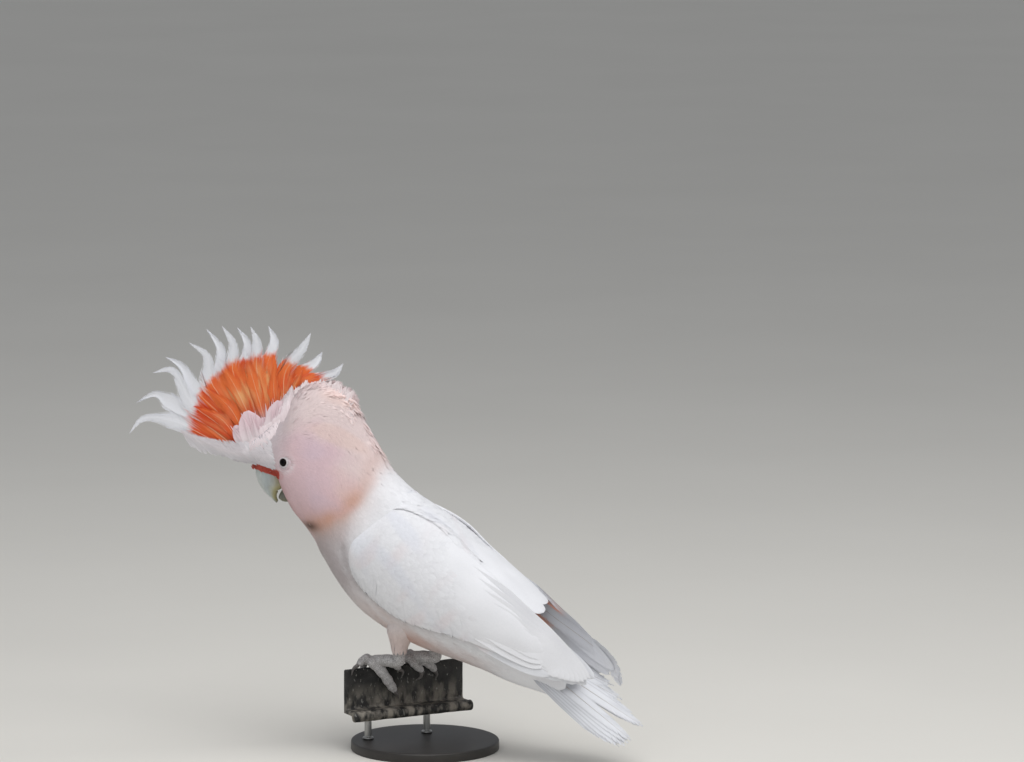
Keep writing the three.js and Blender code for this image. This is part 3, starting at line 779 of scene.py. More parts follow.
def coat(
    heap, surface, u, v, length, width, depth, tip, tint, chart, turn, shape, cup=0.02, shade=0.05,
    vary=0.018,
):
    """Vanes rooted at (u, v) on a surface, lying along u. Each rises from its root, depth under the
    surface, to its tip, tip over it. tint(points, u) gives the colours and chart(u, v) the root's
    place on the unwrapped surface."""
    f, g, outline, quads = shape
    n = len(u)
    u, v, turn, length, width, depth, tip = (
        np.broadcast_to(np.asarray(x, float), n)[:, None] for x in (u, v, turn, length, width, depth, tip)
    )
    pu, pv = derivatives(surface, u, v)
    lie = unit(pu)
    out = unit(np.cross(pu, pv))
    beside = np.cross(out, lie)
    bent = lie * np.cos(turn)[..., None] + beside * np.sin(turn)[..., None]
    beside = np.cross(out, bent)
    move = bent * (f * length)[..., None] + beside * (g * outline * width / 2)[..., None]
    uu, uv, vv = (pu * pu).sum(-1), (pu * pv).sum(-1), np.maximum((pv * pv).sum(-1), 1e-4)
    mu, mv = (move * pu).sum(-1), (move * pv).sum(-1)
    det = np.maximum(uu * vv - uv * uv, 1e-6)
    du = np.clip((mu * vv - mv * uv) / det, -3, 3)
    dv = np.clip((mv * uu - mu * uv) / det, -1.5, 1.5)
    lift = tip * f * f - depth * (1 - f) ** 4 - cup * width * g * g * (0.3 + 0.7 * f)
    points = surface(u + du, v + dv, lift)
    own = own_tones(n, vary)
    colours = tint(points, np.broadcast_to(u, du.shape)) * own * (1 - shade * (1 - f))[None, :, None]
    uv_map = stacked(*chart(u, v)) + own_patch(f, g, outline)
    heap.add(points, quads, colours, uv_map, barb_lines(f, g, outline, length, width))


def rows_of(surface, u0, u1, v0, v1, along, across, mid, closed=False):
    """Roots in staggered rows on a surface between u0 and u1 and v0 and v1. along(u) and across(u)
    are the spacings in millimetres, and mid is the v at which rows are spaced."""
    us, vs = [], []
    u, odd = u0, 0
    shift = 0 if closed else 0.25
    while u < u1:
        edge = surface(np.full(60, u), np.linspace(v0, v1, 60))
        steps = np.linalg.norm(np.diff(edge, axis=0), axis=1)
        girth = np.concatenate([[0], np.cumsum(steps)])
        count = max(3, int(girth[-1] / across(u)))
        share = (np.arange(count) + 0.5 * odd + shift) / count
        row = np.interp(share * girth[-1], girth, np.linspace(v0, v1, 60))
        us.append(np.full(count, u))
        vs.append(row)
        pace = np.linalg.norm(surface(u + 1e-3, mid) - surface(u - 1e-3, mid)) / 2e-3
        u += along(u) / max(float(pace), 1e-3)
        odd = 1 - odd
    return np.concatenate(us), np.concatenate(vs)


def moved(u, v, by_u, by_v):
    """Roots moved a little, so that their rows don't show."""
    return u + by_u * rng.standard_normal(len(u)), v + by_v * rng.standard_normal(len(u))


def solid_tree(grid):
    """A search tree of a closed tube of points, to tell whether a point is inside it."""
    v, quads, caps = closed_tube(grid)
    volume = np.einsum("ij,ij->i", v[quads[:, 0]], np.cross(v[quads[:, 1]], v[quads[:, 2]])).sum()
    flip = -1 if volume < 0 else 1
    faces = [tuple(q[::flip]) for q in quads] + [tuple(c[::flip]) for c in caps]
    return BVHTree.FromPolygons([Vector(p) for p in v], faces)


def inside(tree, points, by):
    """Which points lie in a closed solid by more than that many millimetres."""
    found = np.zeros(len(points), bool)
    for i, p in enumerate(points):
        at, normal, _, away = tree.find_nearest(Vector(p), 60)
        if at is not None and away > by:
            found[i] = (Vector(p) - at).dot(normal) < 0
    return found


right_wing = solid_tree(wing_shell(1, *rings(40, WING_LAST, 32), 0))


def under_wings(points, by):
    """Which points are covered by a folded wing. The left wing mirrors the right one."""
    hidden = np.zeros(len(points), bool)
    chosen = np.nonzero((np.abs(points[:, 1]) > 8) & (points[:, 0] > -40))[0]
    mirrored = points[chosen] * np.array([1, 0, 1]) + np.abs(points[chosen]) * np.array([0, 1, 0])
    hidden[chosen] = inside(right_wing, mirrored, by)
    return hidden


def body_chart(s, angle):
    """Place on the unwrapped map of a root on the body."""
    turned = (angle + math.pi) % (2 * math.pi) / (2 * math.pi)
    return 0.02 + 0.96 * s / LAST, 0.02 + 0.96 * turned


# No feather grows closer to the eye's axis than this.
EYE_RING = 5.6


def near_eye(points):
    """Distance from the nearer eye's axis, on that side of the head."""
    d = np.hypot(points[..., 0] - EYE[0], points[..., 2] - EYE[2])
    return np.where(np.abs(points[..., 1]) > FLANK, d, 99)


# Name, first section, last section and vane of each part of the coat.
COAT_PARTS = [
    ("coat_face", 0, 2.6, TUFT),
    ("coat_cheek", 2.6, 4.3, TUFT),
    ("coat_ear", 4.3, 6.0, TUFT),
    ("coat_nape", 6.0, 7.8, TUFT),
    ("coat_breast", 7.8, 11.5, SOFT),
    ("coat_belly", 11.5, LAST, SOFT),
]
# Behind this section the tail coverts take over, and the feathers grow shorter towards it.
COAT_END = 16.9
COAT_SHORTENS = 15.7
# Millimetres of the back to a section, and of the side to a radian, near enough.
SECTION, RADIAN = 16, 36


def coat_length(s):
    return 5.4 + 2.6 * ramp(s, 3.5, 7) + 4 * ramp(s, 7, 10) + 8 * ramp(s, 13.5, 16.5)


def coat_width(s):
    return 1.15 + 0.5 * ramp(s, 3.5, 7) + 1.7 * ramp(s, 7, 10) + 2.4 * ramp(s, 13.5, 16.5)


def body_coat():
    """The small feathers of the head, neck and trunk, as one piece for each part of them."""
    u, v = rows_of(
        body, 0.02, LAST - 0.1, -math.pi, math.pi,
        lambda s: 0.22 * coat_length(s), lambda s: 0.52 * coat_width(s), math.pi * 0.5, closed=True,
    )
    n = len(u)
    u = u + rng.uniform(-0.4, 0.4, n) * 0.27 * coat_length(u) / SECTION
    v = v + rng.uniform(-0.3, 0.3, n) * coat_width(u) / RADIAN
    u = np.clip(u, 0.01, LAST)
    root = body(u, v, -1.0)
    eye_gap = near_eye(root)
    keep = ~under_wings(root, 2.5) & (u < COAT_END) & (eye_gap > EYE_RING)
    u, v, root, eye_gap = u[keep], v[keep], root[keep], eye_gap[keep]
    n = len(u)
    size = coat_length(u) * rng.uniform(0.85, 1.15, n) * (1 - 0.4 * ramp(u, COAT_SHORTENS, COAT_END))
    # feathers ahead of the eye end at its ring
    ahead = (root[:, 0] < EYE[0] + 1) & (eye_gap < EYE_RING + size)
    toward = np.abs(root[:, 2] - EYE[2] - 0.3 * (root[:, 0] - EYE[0])) < EYE_RING
    size = np.where(ahead & toward, np.clip(eye_gap - EYE_RING + 0.9, 1.4, None), size)
    wide = coat_width(u) * rng.uniform(0.85, 1.2, n)
    tip = (0.04 + 0.09 * rng.uniform(0, 1, n)) * (1 + 0.6 * ramp(u, 6, 9))
    turn = 0.1 * rng.standard_normal(n) + 0.12 * noise(body(u, v), 14, 5)
    # the crown's feathers sweep up towards the crest
    crown = ramp(u, 2.4, 3.6) * fade(u, 5.8, 7.4) * fade(np.abs(v), 0.35, 1.45)
    turn = turn - np.sign(v) * crown * (0.95 - 0.25 * ramp(u, 4.5, 6.5))
    size = size * (1 + 0.55 * crown)
    depth = coat_depth(u) * 0.9
    for name, first, last, shape in COAT_PARTS:
        heap = Heap()
        part = (u >= first) & (u < last)
        coat(
            heap, body, u[part], v[part], size[part], wide[part], depth[part], tip[part],
            plumage, body_chart, turn[part], shape, vary=0.022,
        )
        yield heap.finish(name)


coats = list(body_coat())


def tufts(heap, roots, aims, flats, length, width, bend, tint, chart, shape, cup=0.05, vary=0.03):
    """Free vanes: each leaves its root along aim, its face turned to flat, and bends towards it."""
    f, g, outline, quads = shape
    n = len(roots)
    length, width, bend = (np.broadcast_to(np.asarray(x, float), n)[:, None] for x in (length, width, bend))
    across = unit(np.cross(aims, flats))[:, None, :]
    over = unit(np.cross(across[:, 0], aims))
    over = (over * np.sign((over * flats).sum(-1, keepdims=True)))[:, None, :]
    points = roots[:, None, :] + aims[:, None, :] * (f * length)[..., None]
    points = points + across * (g * outline * width / 2)[..., None]
    points = points + over * (bend * f * f - cup * width * g * g)[..., None]
    own = own_tones(n, vary)
    colours = tint(points, np.broadcast_to(f, points.shape[:2])) * own
    uv_map = chart[:, None, :] + own_patch(f, g, outline)
    heap.add(points, quads, colours, uv_map, barb_lines(f, g, outline, length, width))


def axes_on_body(s, angle):
    """Place, backward direction and outward direction at (s, angle) on the body."""
    p = body(s, angle)
    along, around = derivatives(body, s, angle)
    out = unit(np.cross(along, around))
    middle = (BACK_LINE.at(s) + BELLY_LINE.at(s)) / 2
    outward = p - stacked(middle[..., 0], 0, middle[..., 1])
    return p, unit(along), out * np.sign((out * outward).sum(-1, keepdims=True))


# ---------- Long feathers ----------


class Feather:
    """A rachis with barbs on both sides. line is a curve in the bird's frame, flat the direction
    that its broad face turns to, and wide(f) its half width at f from 0 at the root to 1."""

    def __init__(self, points, flat, wide):
        self.line = Curve(points)
        self.flat = np.asarray(flat, float)
        self.wide = wide
        f = np.linspace(0, 1, 60)
        self.length = np.linalg.norm(np.diff(self.at(f), axis=0), axis=1).sum()

    def at(self, f):
        return self.line.at(np.asarray(f, float) * self.line.last)

    def spread(self, f, x, lift):
        """The point at f along, x millimetres across and lift over the blade."""
        tangent = self.line.heading(np.asarray(f, float) * self.line.last)
        across = unit(np.cross(tangent, self.flat))
        over = np.cross(across, tangent)
        over = over * np.sign((over * self.flat).sum(-1, keepdims=True) + 1e-12)
        return self.at(f) + across * np.asarray(x)[..., None] + over * np.asarray(lift)[..., None]


def strip_uv(strip, f, g):
    """A feather's place on the unwrapped map, whose strip is (start, width): f along it, g across."""
    across = strip[0] + strip[1] * (0.5 + 0.49 * np.clip(g, -1, 1))
    return stacked(across, 0.01 + 0.98 * np.clip(f, 0, 1))


def add_grid(heap, points, tint, strip, f, g, barbs, wrap=False):
    """A grid of vertices as one blade."""
    rows, columns = f.shape
    flat_points, flat_f, flat_g = (x.reshape(1, rows * columns, *x.shape[2:]) for x in (points, f, g))
    uv = strip_uv(strip, flat_f, flat_g)
    lines = np.broadcast_to(barbs, f.shape).reshape(1, -1)
    heap.add(flat_points, grid_faces(rows, columns, wrap), tint(flat_points, flat_f, flat_g), uv, lines)


# Past this, g means the rachis.
ON_RACHIS = 9.0


def add_rachis(heap, feather, tint, strip, quill):
    """The shaft, thinning towards the tip."""
    ff, aa = grid_of(np.linspace(0, 0.98, 16), turns(5))
    thick = quill * (1 - 0.88 * ff)
    points = feather.spread(ff, thick * np.cos(aa), thick * (0.2 + 0.6 * np.sin(aa)))

    def shaft_tint(p, f, g):
        return tint(p, f, np.full(f.shape, ON_RACHIS))

    add_grid(heap, points, shaft_tint, strip, ff, np.zeros_like(ff), 0, wrap=True)


def add_feather(
    heap, feather, tint, strip, barbs, cup, clump, ragged, splits, sweep=1.6, start=0.04, lock=8,
    quill=0.7, fringe=0.0,
):
    """Barbs in locks, each a narrow strip, and the rachis. tint(points, f, g) gives the colours. strip
    is this feather's place and width across the unwrapped map."""
    length = feather.length
    gap = (0.99 - start) / barbs
    f0 = start + gap * (np.arange(barbs) + 0.5)
    t = np.linspace(0, 1, 5)
    widest = float(np.max(feather.wide(np.linspace(0, 1, 50))))
    half = np.broadcast_to(0.85 * gap * (1 - 0.5 * t**3), (barbs, len(t)))
    line = (f0[:, None, None] + stacked(-half, half)).reshape(barbs, -1) * length
    for side in (-1, 1):
        # where each barb reaches the edge
        reach = f0 + 0.5 * sweep * feather.wide(f0) / length
        for _ in range(6):
            reach = np.minimum(f0 + sweep * feather.wide(np.minimum(reach, 0.995)) / length, 1)
        # barbs of one lock draw together, and a split parts them
        phase = rng.integers(0, lock)
        group = (np.arange(barbs) + phase) // lock
        middle = (group * lock + lock / 2 - phase) * gap + start
        pull = clump * (middle - f0) * rng.uniform(0, 1, group.max() + 1)[group]
        for _ in range(splits):
            at = rng.uniform(0.45, 0.9)
            apart = np.sign(f0 - at) * np.exp(-np.abs(f0 - at) / 0.06)
            pull = pull - np.where(apart < 0, 0.018, 0.0) * np.abs(apart) * rng.uniform(0.5, 1.5)
        tip = reach + pull + ragged * gap * 8 * rng.uniform(-1, 1, barbs)
        far = feather.wide(np.clip(tip, 0, 1)) * (1 + ragged * rng.uniform(-1, 1, barbs))
        far = np.maximum(far, 0.12) * (1 - fringe * rng.uniform(0, 1, barbs) ** 3)
        ff = f0[:, None] + (tip - f0)[:, None] * t**1.15
        xx = side * far[:, None] * t**0.95
        f2 = stacked(ff - half, ff + half)
        x2 = stacked(xx, xx)
        lift = -cup * (x2 / widest) ** 2 + np.array([-0.03, 0.03])
        points = feather.spread(f2, x2, lift).reshape(barbs, -1, 3)
        f, g = f2.reshape(barbs, -1), (x2 / widest).reshape(barbs, -1)
        heap.add(points, grid_faces(len(t), 2), tint(points, f, g), strip_uv(strip, f, g), line)
    add_rachis(heap, feather, tint, strip, quill)


def add_vane(
    heap, feather, tint, strip, cup, rows=36, share=1.0, end=1.0, sweep=1.6, ripple=0.015,
):
    """A smooth solid blade. share narrows it, and end is where along the feather it has run out."""
    ff, gg = grid_of(np.linspace(0, 1, rows) ** 0.9, np.linspace(-1, 1, 9))
    wide = feather.wide(ff) * share
    if end < 1:
        wide = wide * np.sqrt(np.clip((end - ff) / 0.1, 0.0, 1))
    waves = stacked(ff * 40, 3 * np.sign(gg), 0)
    x = gg * wide * (1 + ripple * noise(waves, 1.5, 71))
    points = feather.spread(ff, x, -cup * gg * gg - 0.06)
    add_grid(heap, points, tint, strip, ff, gg, ff * feather.length - sweep * np.abs(x))


def surface_vane(
    heap, surface, v, q, width, span, lift, tint, strip, rows=30, columns=7, blunt=0.25, cup=0.12,
):
    """A long smooth feather that lies on a surface. v and q run from its root to its tip, and span(v)
    is how many millimetres one q is there."""
    ff, gg = grid_of(np.linspace(0, 1, rows) ** 0.9, np.linspace(-1, 1, columns))
    vv, qq = (np.interp(ff, np.linspace(0, 1, len(line)), line) for line in (v, q))
    end = np.sqrt(np.maximum(1 - np.clip((ff - 1 + blunt) / blunt, 0, 1) ** 2, 0))
    x = gg * width / 2 * (0.55 + 0.45 * np.minimum(1, ff / 0.2)) * end
    points = surface(vv, qq + x / span(vv), lift(ff) - cup * gg * gg)
    middle = points[:, columns // 2]
    length = np.linalg.norm(np.diff(middle, axis=0), axis=-1).sum()
    add_grid(heap, points, tint, strip, ff, gg, ff * length - 1.4 * np.abs(x))


def raised_tip(low, rise, pace=2.2):
    """A feather's lift over a surface: low at its root, and that much higher from part way along."""
    return lambda f: low + rise * smooth(f * pace)


def blade(width, blunt):
    """Half width along a feather: narrow at the root, full from f = 0.3 on, rounded at the end."""

    def wide(f):
        f = np.asarray(f, float)
        end = 1 - np.clip((f - 1 + blunt) / blunt, 0, 1) ** 2
        return width / 2 * (0.35 + 0.65 * np.minimum(1, f / 0.3)) * np.sqrt(np.maximum(end, 0))

    return wide


def plain_tint(colour, rachis=None, worn=0.0, edge=0.0):
    """One colour for a feather, with its rachis, and darker towards its tip and, as painted shade, along
    its edges if asked.
    """

    def tint(points, f, g):
        base = colour * (1 + 0.02 * noise(points, 7, 11)[..., None])
        shaft = g == ON_RACHIS
        if rachis is not None:
            base = np.where(shaft[..., None], rachis, base)
        else:
            base = np.where(shaft[..., None], base * 0.94, base)
        dull = (1 - worn * ramp(f, 0.88, 1.0)) * (1 - edge * ramp(np.abs(g), 0.8, 1.0) * (1 - shaft))
        return base * dull[..., None]

    return tint


# ---------- Wings ----------

PRIMARY_WHITE = rgb(228, 229, 233)
PRIMARY_SHAFT = rgb(205, 200, 196)
DROOPED_SHAFT = rgb(190, 184, 180)
SALMON = rgb(250, 186, 160)
WING_WARM = rgb(235, 226, 228)
WING_COOL = rgb(222, 225, 235)


def wing_chart(v, q):
    """Place on the unwrapped map of a root on a wing."""
    return 0.05 + 0.9 * (v + 0.4) / (WING_LAST + 0.6), 0.5 + 0.33 * q


def wing_tint(points, v):
    """White, clouded with warm and cool. It is the same at every section v."""
    warm, cool = noise(points, 13, 21), noise(points, 17, 22)
    tint = mix(WHITE, WING_WARM, 0.6 * ramp(warm, 0.0, 1.0))
    return mix(tint, WING_COOL, 0.4 * ramp(cool, 0.0, 1.0))


def covert_size(v):
    """Length and width of the coverts at section v."""
    early, late = ramp(v, 0, 2.5), ramp(v, 2.5, 6)
    return 4.5 + 5 * early + 9 * late, 2.4 + 2.6 * early + 4.5 * late


# The coverts run from round the wing's front edge back to this section.
COVERTS_FROM, COVERTS_TO = -0.28, 6.3


def wing_coverts(side, name):
    """Small coverts in rows, growing towards the flight feathers."""
    surface = wing(side)
    heap = Heap()
    u, q = rows_of(
        surface, COVERTS_FROM, COVERTS_TO, -1.25, 1.25,
        lambda v: 0.26 * covert_size(v)[0], lambda v: 0.5 * covert_size(v)[1], 0.0,
    )
    if side > 0:
        # the mantle covers its upper edge
        bare = (q < 0.86) | (u < 1.4)
        u, q = u[bare], q[bare]
    n = len(u)
    u, q = moved(u, q, 0.03, 0.012)
    u, q = np.clip(u, -0.3, 9), np.clip(q, -1.27, 1.27)
    length, width = covert_size(u)
    length = length * rng.uniform(0.8, 1.2, n) * (1 - 0.35 * ramp(np.abs(q), 0.97, 1.1))
    width = width * rng.uniform(0.9, 1.15, n)
    tip = (0.05 + 0.13 * rng.uniform(0, 1, n) ** 2) * (1 + 0.8 * ramp(u, 2, 6))
    coat(
        heap, surface, u, q, length, width, 0.9, tip + 0.5 * ramp(-q, 0.8, 1.0), wing_tint, wing_chart,
        0.1 * rng.standard_normal(n), CONTOUR, cup=0.012, shade=0.1, vary=0.012,
    )
    return heap.finish(name)


def wing_span(v):
    """Millimetres in one q across the wing. Past the wing's last section it keeps a least width."""
    within = np.maximum(v, 0)
    return np.maximum(np.linalg.norm(WING_HIGH.at(within) - WING_LOW.at(within), axis=-1) / 2, 8)


SECONDARIES = 14
CLOSING = 8
# Where the closing feathers pass over the wing: section, share of their q there, and lift.
CLOSING_LINE = ((6.4, 0.95, -1.4), (8.2, 0.97, -0.9), (9.9, 0.95, -0.3), (10.95, 0.86, 0.1))
CLOSING_TIPS = Curve([(171, 33, 10), (182, 30, 7), (191, 26.5, 6), (197, 23.5, 9)])


def flight_feathers(side, name):
    """Primaries, secondaries over them, and the longest ones that close over both."""
    surface = wing(side)
    heap = Heap()
    mirror = np.array([1, side, 1])
    total = len(PRIMARIES) + 2 + SECONDARIES + CLOSING
    strips = iter([(k / total, 0.9 / total) for k in range(total)])
    flat = unit(np.array((0.1, 0.95 * side, 0.3)))

    def primary_tint(points, f, g):
        base = plain_tint(PRIMARY_WHITE, PRIMARY_SHAFT)(points, f, g)
        return mix(base, SALMON, (0.9 if side > 0 else 0.1) * fade(f, 0.33, 0.44))

    # primaries, the outermost lowest
    for i, (root, tip) in enumerate(PRIMARIES):
        ends = np.array([root, tip], float) * mirror
        ends[0] = ends[0] - PRIMARY_HIDDEN * unit(ends[1] - ends[0])
        middle = ends.mean(0) + np.array([0, 1.5 * side, 0])
        feather = Feather([ends[0], middle, ends[1]], flat, blade(PRIMARY_WIDTH - i, blunt=0.4))
        at = next(strips)
        add_vane(heap, feather, primary_tint, at, cup=0.5)
        add_rachis(heap, feather, primary_tint, at, 0.5)
    if side > 0:
        feather = Feather(DROOPED_TIP, flat, blade(DROOPED_WIDTH, blunt=0.5))
        dull = plain_tint(PRIMARY_WHITE * 0.93, DROOPED_SHAFT)
        at = next(strips)
        add_vane(heap, feather, dull, at, cup=0.4, share=0.8, end=0.9)
        add_feather(heap, feather, dull, at, barbs=70, cup=0.5, clump=0.25, ragged=0.05, splits=2)
    # secondaries along the wing's face, the upper ones over the lower
    for k in range(SECONDARIES):
        share = k / (SECONDARIES - 1)
        last = 11.0 - 1.3 * abs(share - 0.4) - rng.uniform(0, 0.3)
        q = (-0.8 + (1.52 if side < 0 else 1.36) * share) * np.array([1.0, 1.0, 0.94])
        surface_vane(
            heap, surface, [4.2, last], q, 15.5, wing_span, raised_tip(-0.8 + 0.05 * k, 0.75),
            plain_tint(WHITE), next(strips),
        )
    # the longest ones close over the primaries, nearly to their tips
    for k in range(CLOSING):
        share = k / (CLOSING - 1)
        q = -0.78 + (1.5 if side < 0 else 1.3) * share
        line = [surface(v, q * narrow, lift + 0.03 * k) for v, narrow, lift in CLOSING_LINE]
        tip = CLOSING_TIPS.at(share * 3) * mirror + np.array([0, 0.12 * k * side, 0])
        feather = Feather(line + [tip], flat, blade(15, blunt=0.3))
        add_vane(heap, feather, plain_tint(WHITE), next(strips), cup=0.2, ripple=0.01)
    return heap.finish(name)


wing_pieces = {}
for word, side in SIDES.items():
    coverts = wing_coverts(side, f"wing_coverts_{word}")
    wing_pieces[word] = coverts, flight_feathers(side, f"wing_flight_{word}")

# ---------- Feathers over the back, from wing to wing ----------

OVER_BACK_END = 10.2
# Body section abreast of each wing section, from wing section 0 on.
SPINE_SECTIONS = [7.6, 8.1, 9.45, 10.4, 11.4, 12.3, 12.95, 13.7, 14.6, 15.5, 16.2]
# The way that the back faces.
BACK_WAY = np.array([0.45, 0, 0.9])
# Body section and how far the nape's cover is raised there.
NAPE_RAISED = [
    (7.6, 0.2), (8.6, 0.9), (9.3, 2.3), (9.9, 3.6), (10.4, 3.9), (10.7, 3.5), (11, 3.0), (11.3, 2.9),
]
# Wing section and how far down the left wing's face the seam's cover reaches there.
SEAM_LOW = [(2.2, 0.95), (4.5, 0.93), (5.5, 0.86), (6.0, 0.84), (7.0, 0.83)]


def over_back(v, w, lift=0):
    """The rounded cover over the back at wing section v, w from -1 inside the left wing's upper edge
    to 1 on the right wing's, and past 1 a little way down its outer face."""
    v, w = matched(v, w)
    sunk = -1.2 - 2.6 * ramp(v, 2.2, 3.2)
    left = wing(-1)(v, 1.0 - 0.1 * ramp(v, 4, 6), sunk)
    right, outer = wing(1)(v, 1.0, 0.9), wing(1)(v, 0.8, 0.9)
    share = (np.clip(w, -1, 1) + 1) / 2
    p = left + (right - left) * share[..., None]
    # dome over the spine, a little higher behind the shoulders
    spine = BACK_LINE.at(np.interp(v, np.arange(len(SPINE_SECTIONS)), SPINE_SECTIONS))
    between = (left + right) / 2
    rise = spine[..., 1] + 1.2 - between[..., 2] + (between[..., 0] - spine[..., 0]) * -0.8
    rise = np.clip(rise, 2.5, 12) + 2.0 * bell(v, 2.3, 0.6) + 1.2 * bell(v, 3.3, 0.5)
    bow = 1 - np.clip(np.abs(w), 0, 1) ** 2.4
    p = p + BACK_WAY * (rise * bow)[..., None]
    p = p + (outer - right) * np.clip((w - 1) / 0.4, 0, 1)[..., None]
    normal = unit(BACK_WAY + w[..., None] * np.array([0, 0.35, 0]))
    return p + normal * np.asarray(lift)[..., None]


def back_chart(v, w):
    """Place on the unwrapped map of a root on the back."""
    return 0.04 + 0.9 * (v - 1) / 9.5, 0.5 + 0.3 * w


def seam_chart(v, t):
    """The same for a root on the seam."""
    return back_chart(v, 0)[0], 0.1 + 0.06 * t


def back_span(v):
    """Millimetres in one w across the back."""
    return np.linalg.norm(over_back(v, 1) - over_back(v, -1), axis=-1) / 2


def nape_cover(s, angle, lift=0):
    """The nape's long feathers over the front of the mantle, raised off the body to run on to it."""
    raised = np.interp(s, *zip(*NAPE_RAISED)) * fade(np.abs(angle), 0.45, 1.15)
    return body(s, angle, raised + lift)


def over_seam(v, t, lift=0):
    """From the mantle (t = -1) over the left wing's upper edge (t = 0) down its face (t = 1)."""
    v, t = matched(v, t)
    ending = ramp(v, 4.2, 6.4)
    inner = over_back(v, -0.5, -0.8 - 0.6 * ending)
    outer = wing(-1)(v, np.interp(v, *zip(*SEAM_LOW)), 0.1 - 0.5 * ending)
    edge = wing(-1)(v, 1.0, 1.2 - 1.8 * ending)
    # so that the arch passes the wing's edge halfway
    hold = 2 * edge - (inner + outer) / 2
    share = ((t + 1) / 2)[..., None]
    p = arch(inner, hold, outer, share)
    return p + unit(np.array([0.3, -0.45, 0.85])) * np.asarray(lift)[..., None]


def beside_lobe(v, t, lift=0):
    """From the lobe's left side (t = -1) to the left wing's upper edge (t = 0) and inside it (t = 1)."""
    v, t = matched(v, t)
    inner, edge = over_back(v, -0.78, -0.8), wing(-1)(v, 0.985, -1.0)
    under = wing(-1)(v, 0.72, -1.6)
    share, below = (np.clip(t, -1, 0) + 1)[..., None], np.clip(t, 0, 1)[..., None]
    p = inner + (edge - inner) * share + (under - edge) * below
    return p + np.array([0.35, 0.2, 0.9]) * np.asarray(lift)[..., None]


back_heap = Heap()
# mantle and scapulars
u, w = rows_of(over_back, 0.8, 6.6, -0.98, 1.38, lambda t: 2.6 + 0.6 * t, lambda t: 2.2 + 0.45 * t, 0.0)
u, w = moved(u, w, 0.05, 0.012)
grown = ramp(u, 2, 6)
depth = 0.8 + 5 * fade(u, 0.8, 2.2)
tip = 0.06 + 0.1 * rng.uniform(0, 1, len(u)) - 1.6 * fade(u, 0.8, 1.9)
coat(
    back_heap, over_back, u, w, 10.5 + 7 * grown, 4.6 + 4.5 * grown, depth, tip,
    wing_tint, back_chart, 0.05 * rng.standard_normal(len(u)), CONTOUR, cup=0.01,
)
# the nape's long feathers over the mantle's front
u, w = rows_of(nape_cover, 7.7, 10.55, -1.15, 1.15, lambda t: 2.4, lambda t: 1.9, 0.0)
u, w = moved(u, w, 0.2, 0.03)
chosen = rng.uniform(0, 1, len(u)) > 0.3 * ramp(u, 10.2, 10.6)
u, w = u[chosen], w[chosen]
grown = ramp(u, 8, 10)
raised = np.linalg.norm(nape_cover(u, w) - body(u, w), axis=-1)
depth = 0.5 + raised * (1 - 0.5 * ramp(u, 8.4, 9.6))
coat(
    back_heap, nape_cover, u, w, 9.5 + 3.5 * grown, 2.6 + 1.6 * grown, depth,
    0.1 * rng.uniform(0, 1, len(u)), plumage, body_chart, 0.07 * rng.standard_normal(len(u)), CONTOUR,
    cup=0.01,
)
# the cover over the left wing's upper edge
u, w = rows_of(over_seam, 2.1, 6.1, -1.0, 1.0, lambda t: 2.8 + 0.6 * t, lambda t: 2.4 + 0.5 * t, 0.0)
u, w = moved(u, w, 0.06, 0.04)
grown = ramp(u, 2, 6)
depth = 1.2 + 1.5 * fade(u, 2, 3)
tip = 0.06 + 0.12 * rng.uniform(0, 1, len(u)) - 1.0 * fade(u, 2.1, 2.9)
coat(
    back_heap, over_seam, u, w, 10.5 + 6 * grown, 4.4 + 3.6 * grown, depth, tip,
    wing_tint, seam_chart, 0.05 * rng.standard_normal(len(u)), CONTOUR, cup=0.01,
)
scapulars = back_heap.finish("mantle_and_scapulars")

LOBE_VANES = 11
LOBE_START = 4.6
# Across the back, width and last section of the two that close the lobe.
LOBE_CLOSING = ((-0.42, 22, OVER_BACK_END - 0.02), (0.3, 24, OVER_BACK_END - 0.32))
# Place across and last section of the ones between the lobe and the left wing.
BESIDE_LOBE = ((-0.6, 9.7), (-0.2, 9.9), (0.2, 10.0), (0.6, 9.9))

lobe_heap = Heap()
for k in range(LOBE_VANES):
    share = k / (LOBE_VANES - 1)
    order = 1 - abs(2 * share - 1)
    reach = OVER_BACK_END - 0.35 * (1 - order) ** 2 - 0.6 * share - LOBE_START
    w = (-0.95 + 1.85 * share) * np.array([1.0, 1.0, 0.98, 0.9])
    surface_vane(
        lobe_heap, over_back, LOBE_START + reach * np.array([0, 0.4, 0.8, 1]), w, 11.5, back_span,
        raised_tip(-0.7 + 0.5 * order, 0.75), plain_tint(WHITE), (k / LOBE_VANES, 0.08), blunt=0.2,
    )
for w, width, last in LOBE_CLOSING:
    surface_vane(
        lobe_heap, over_back, [5.6, 7.4, 9.2, last], w * np.array([1.0, 1.0, 1.0, 0.9]), width, back_span,
        raised_tip(-0.9, 1.9, 1.8), plain_tint(WHITE), (0.02, 0.08), rows=40, columns=13, blunt=0.16,
        cup=0.5,
    )
for t, last in BESIDE_LOBE:
    surface_vane(
        lobe_heap, beside_lobe, [4.8, 6.4, 8.0, last], [t, t], 8.0, lambda v: 8.0,
        raised_tip(-0.5, 0.5), plain_tint(WHITE), (0.9, 0.06), blunt=0.15,
    )
lobe = lobe_heap.finish("tertials_over_back")

# ---------- Tail ----------

tail_line = np.array([math.cos(TAIL_SLOPE), 0, -math.sin(TAIL_SLOPE)])
plain_up = np.array([math.sin(TAIL_SLOPE), 0, math.cos(TAIL_SLOPE)])
tail_right = np.array([0, math.cos(TAIL_ROLL), 0]) + plain_up * math.sin(TAIL_ROLL)
tail_up = unit(np.cross(tail_line, tail_right))
tail_up = tail_up * np.sign(tail_up[2])

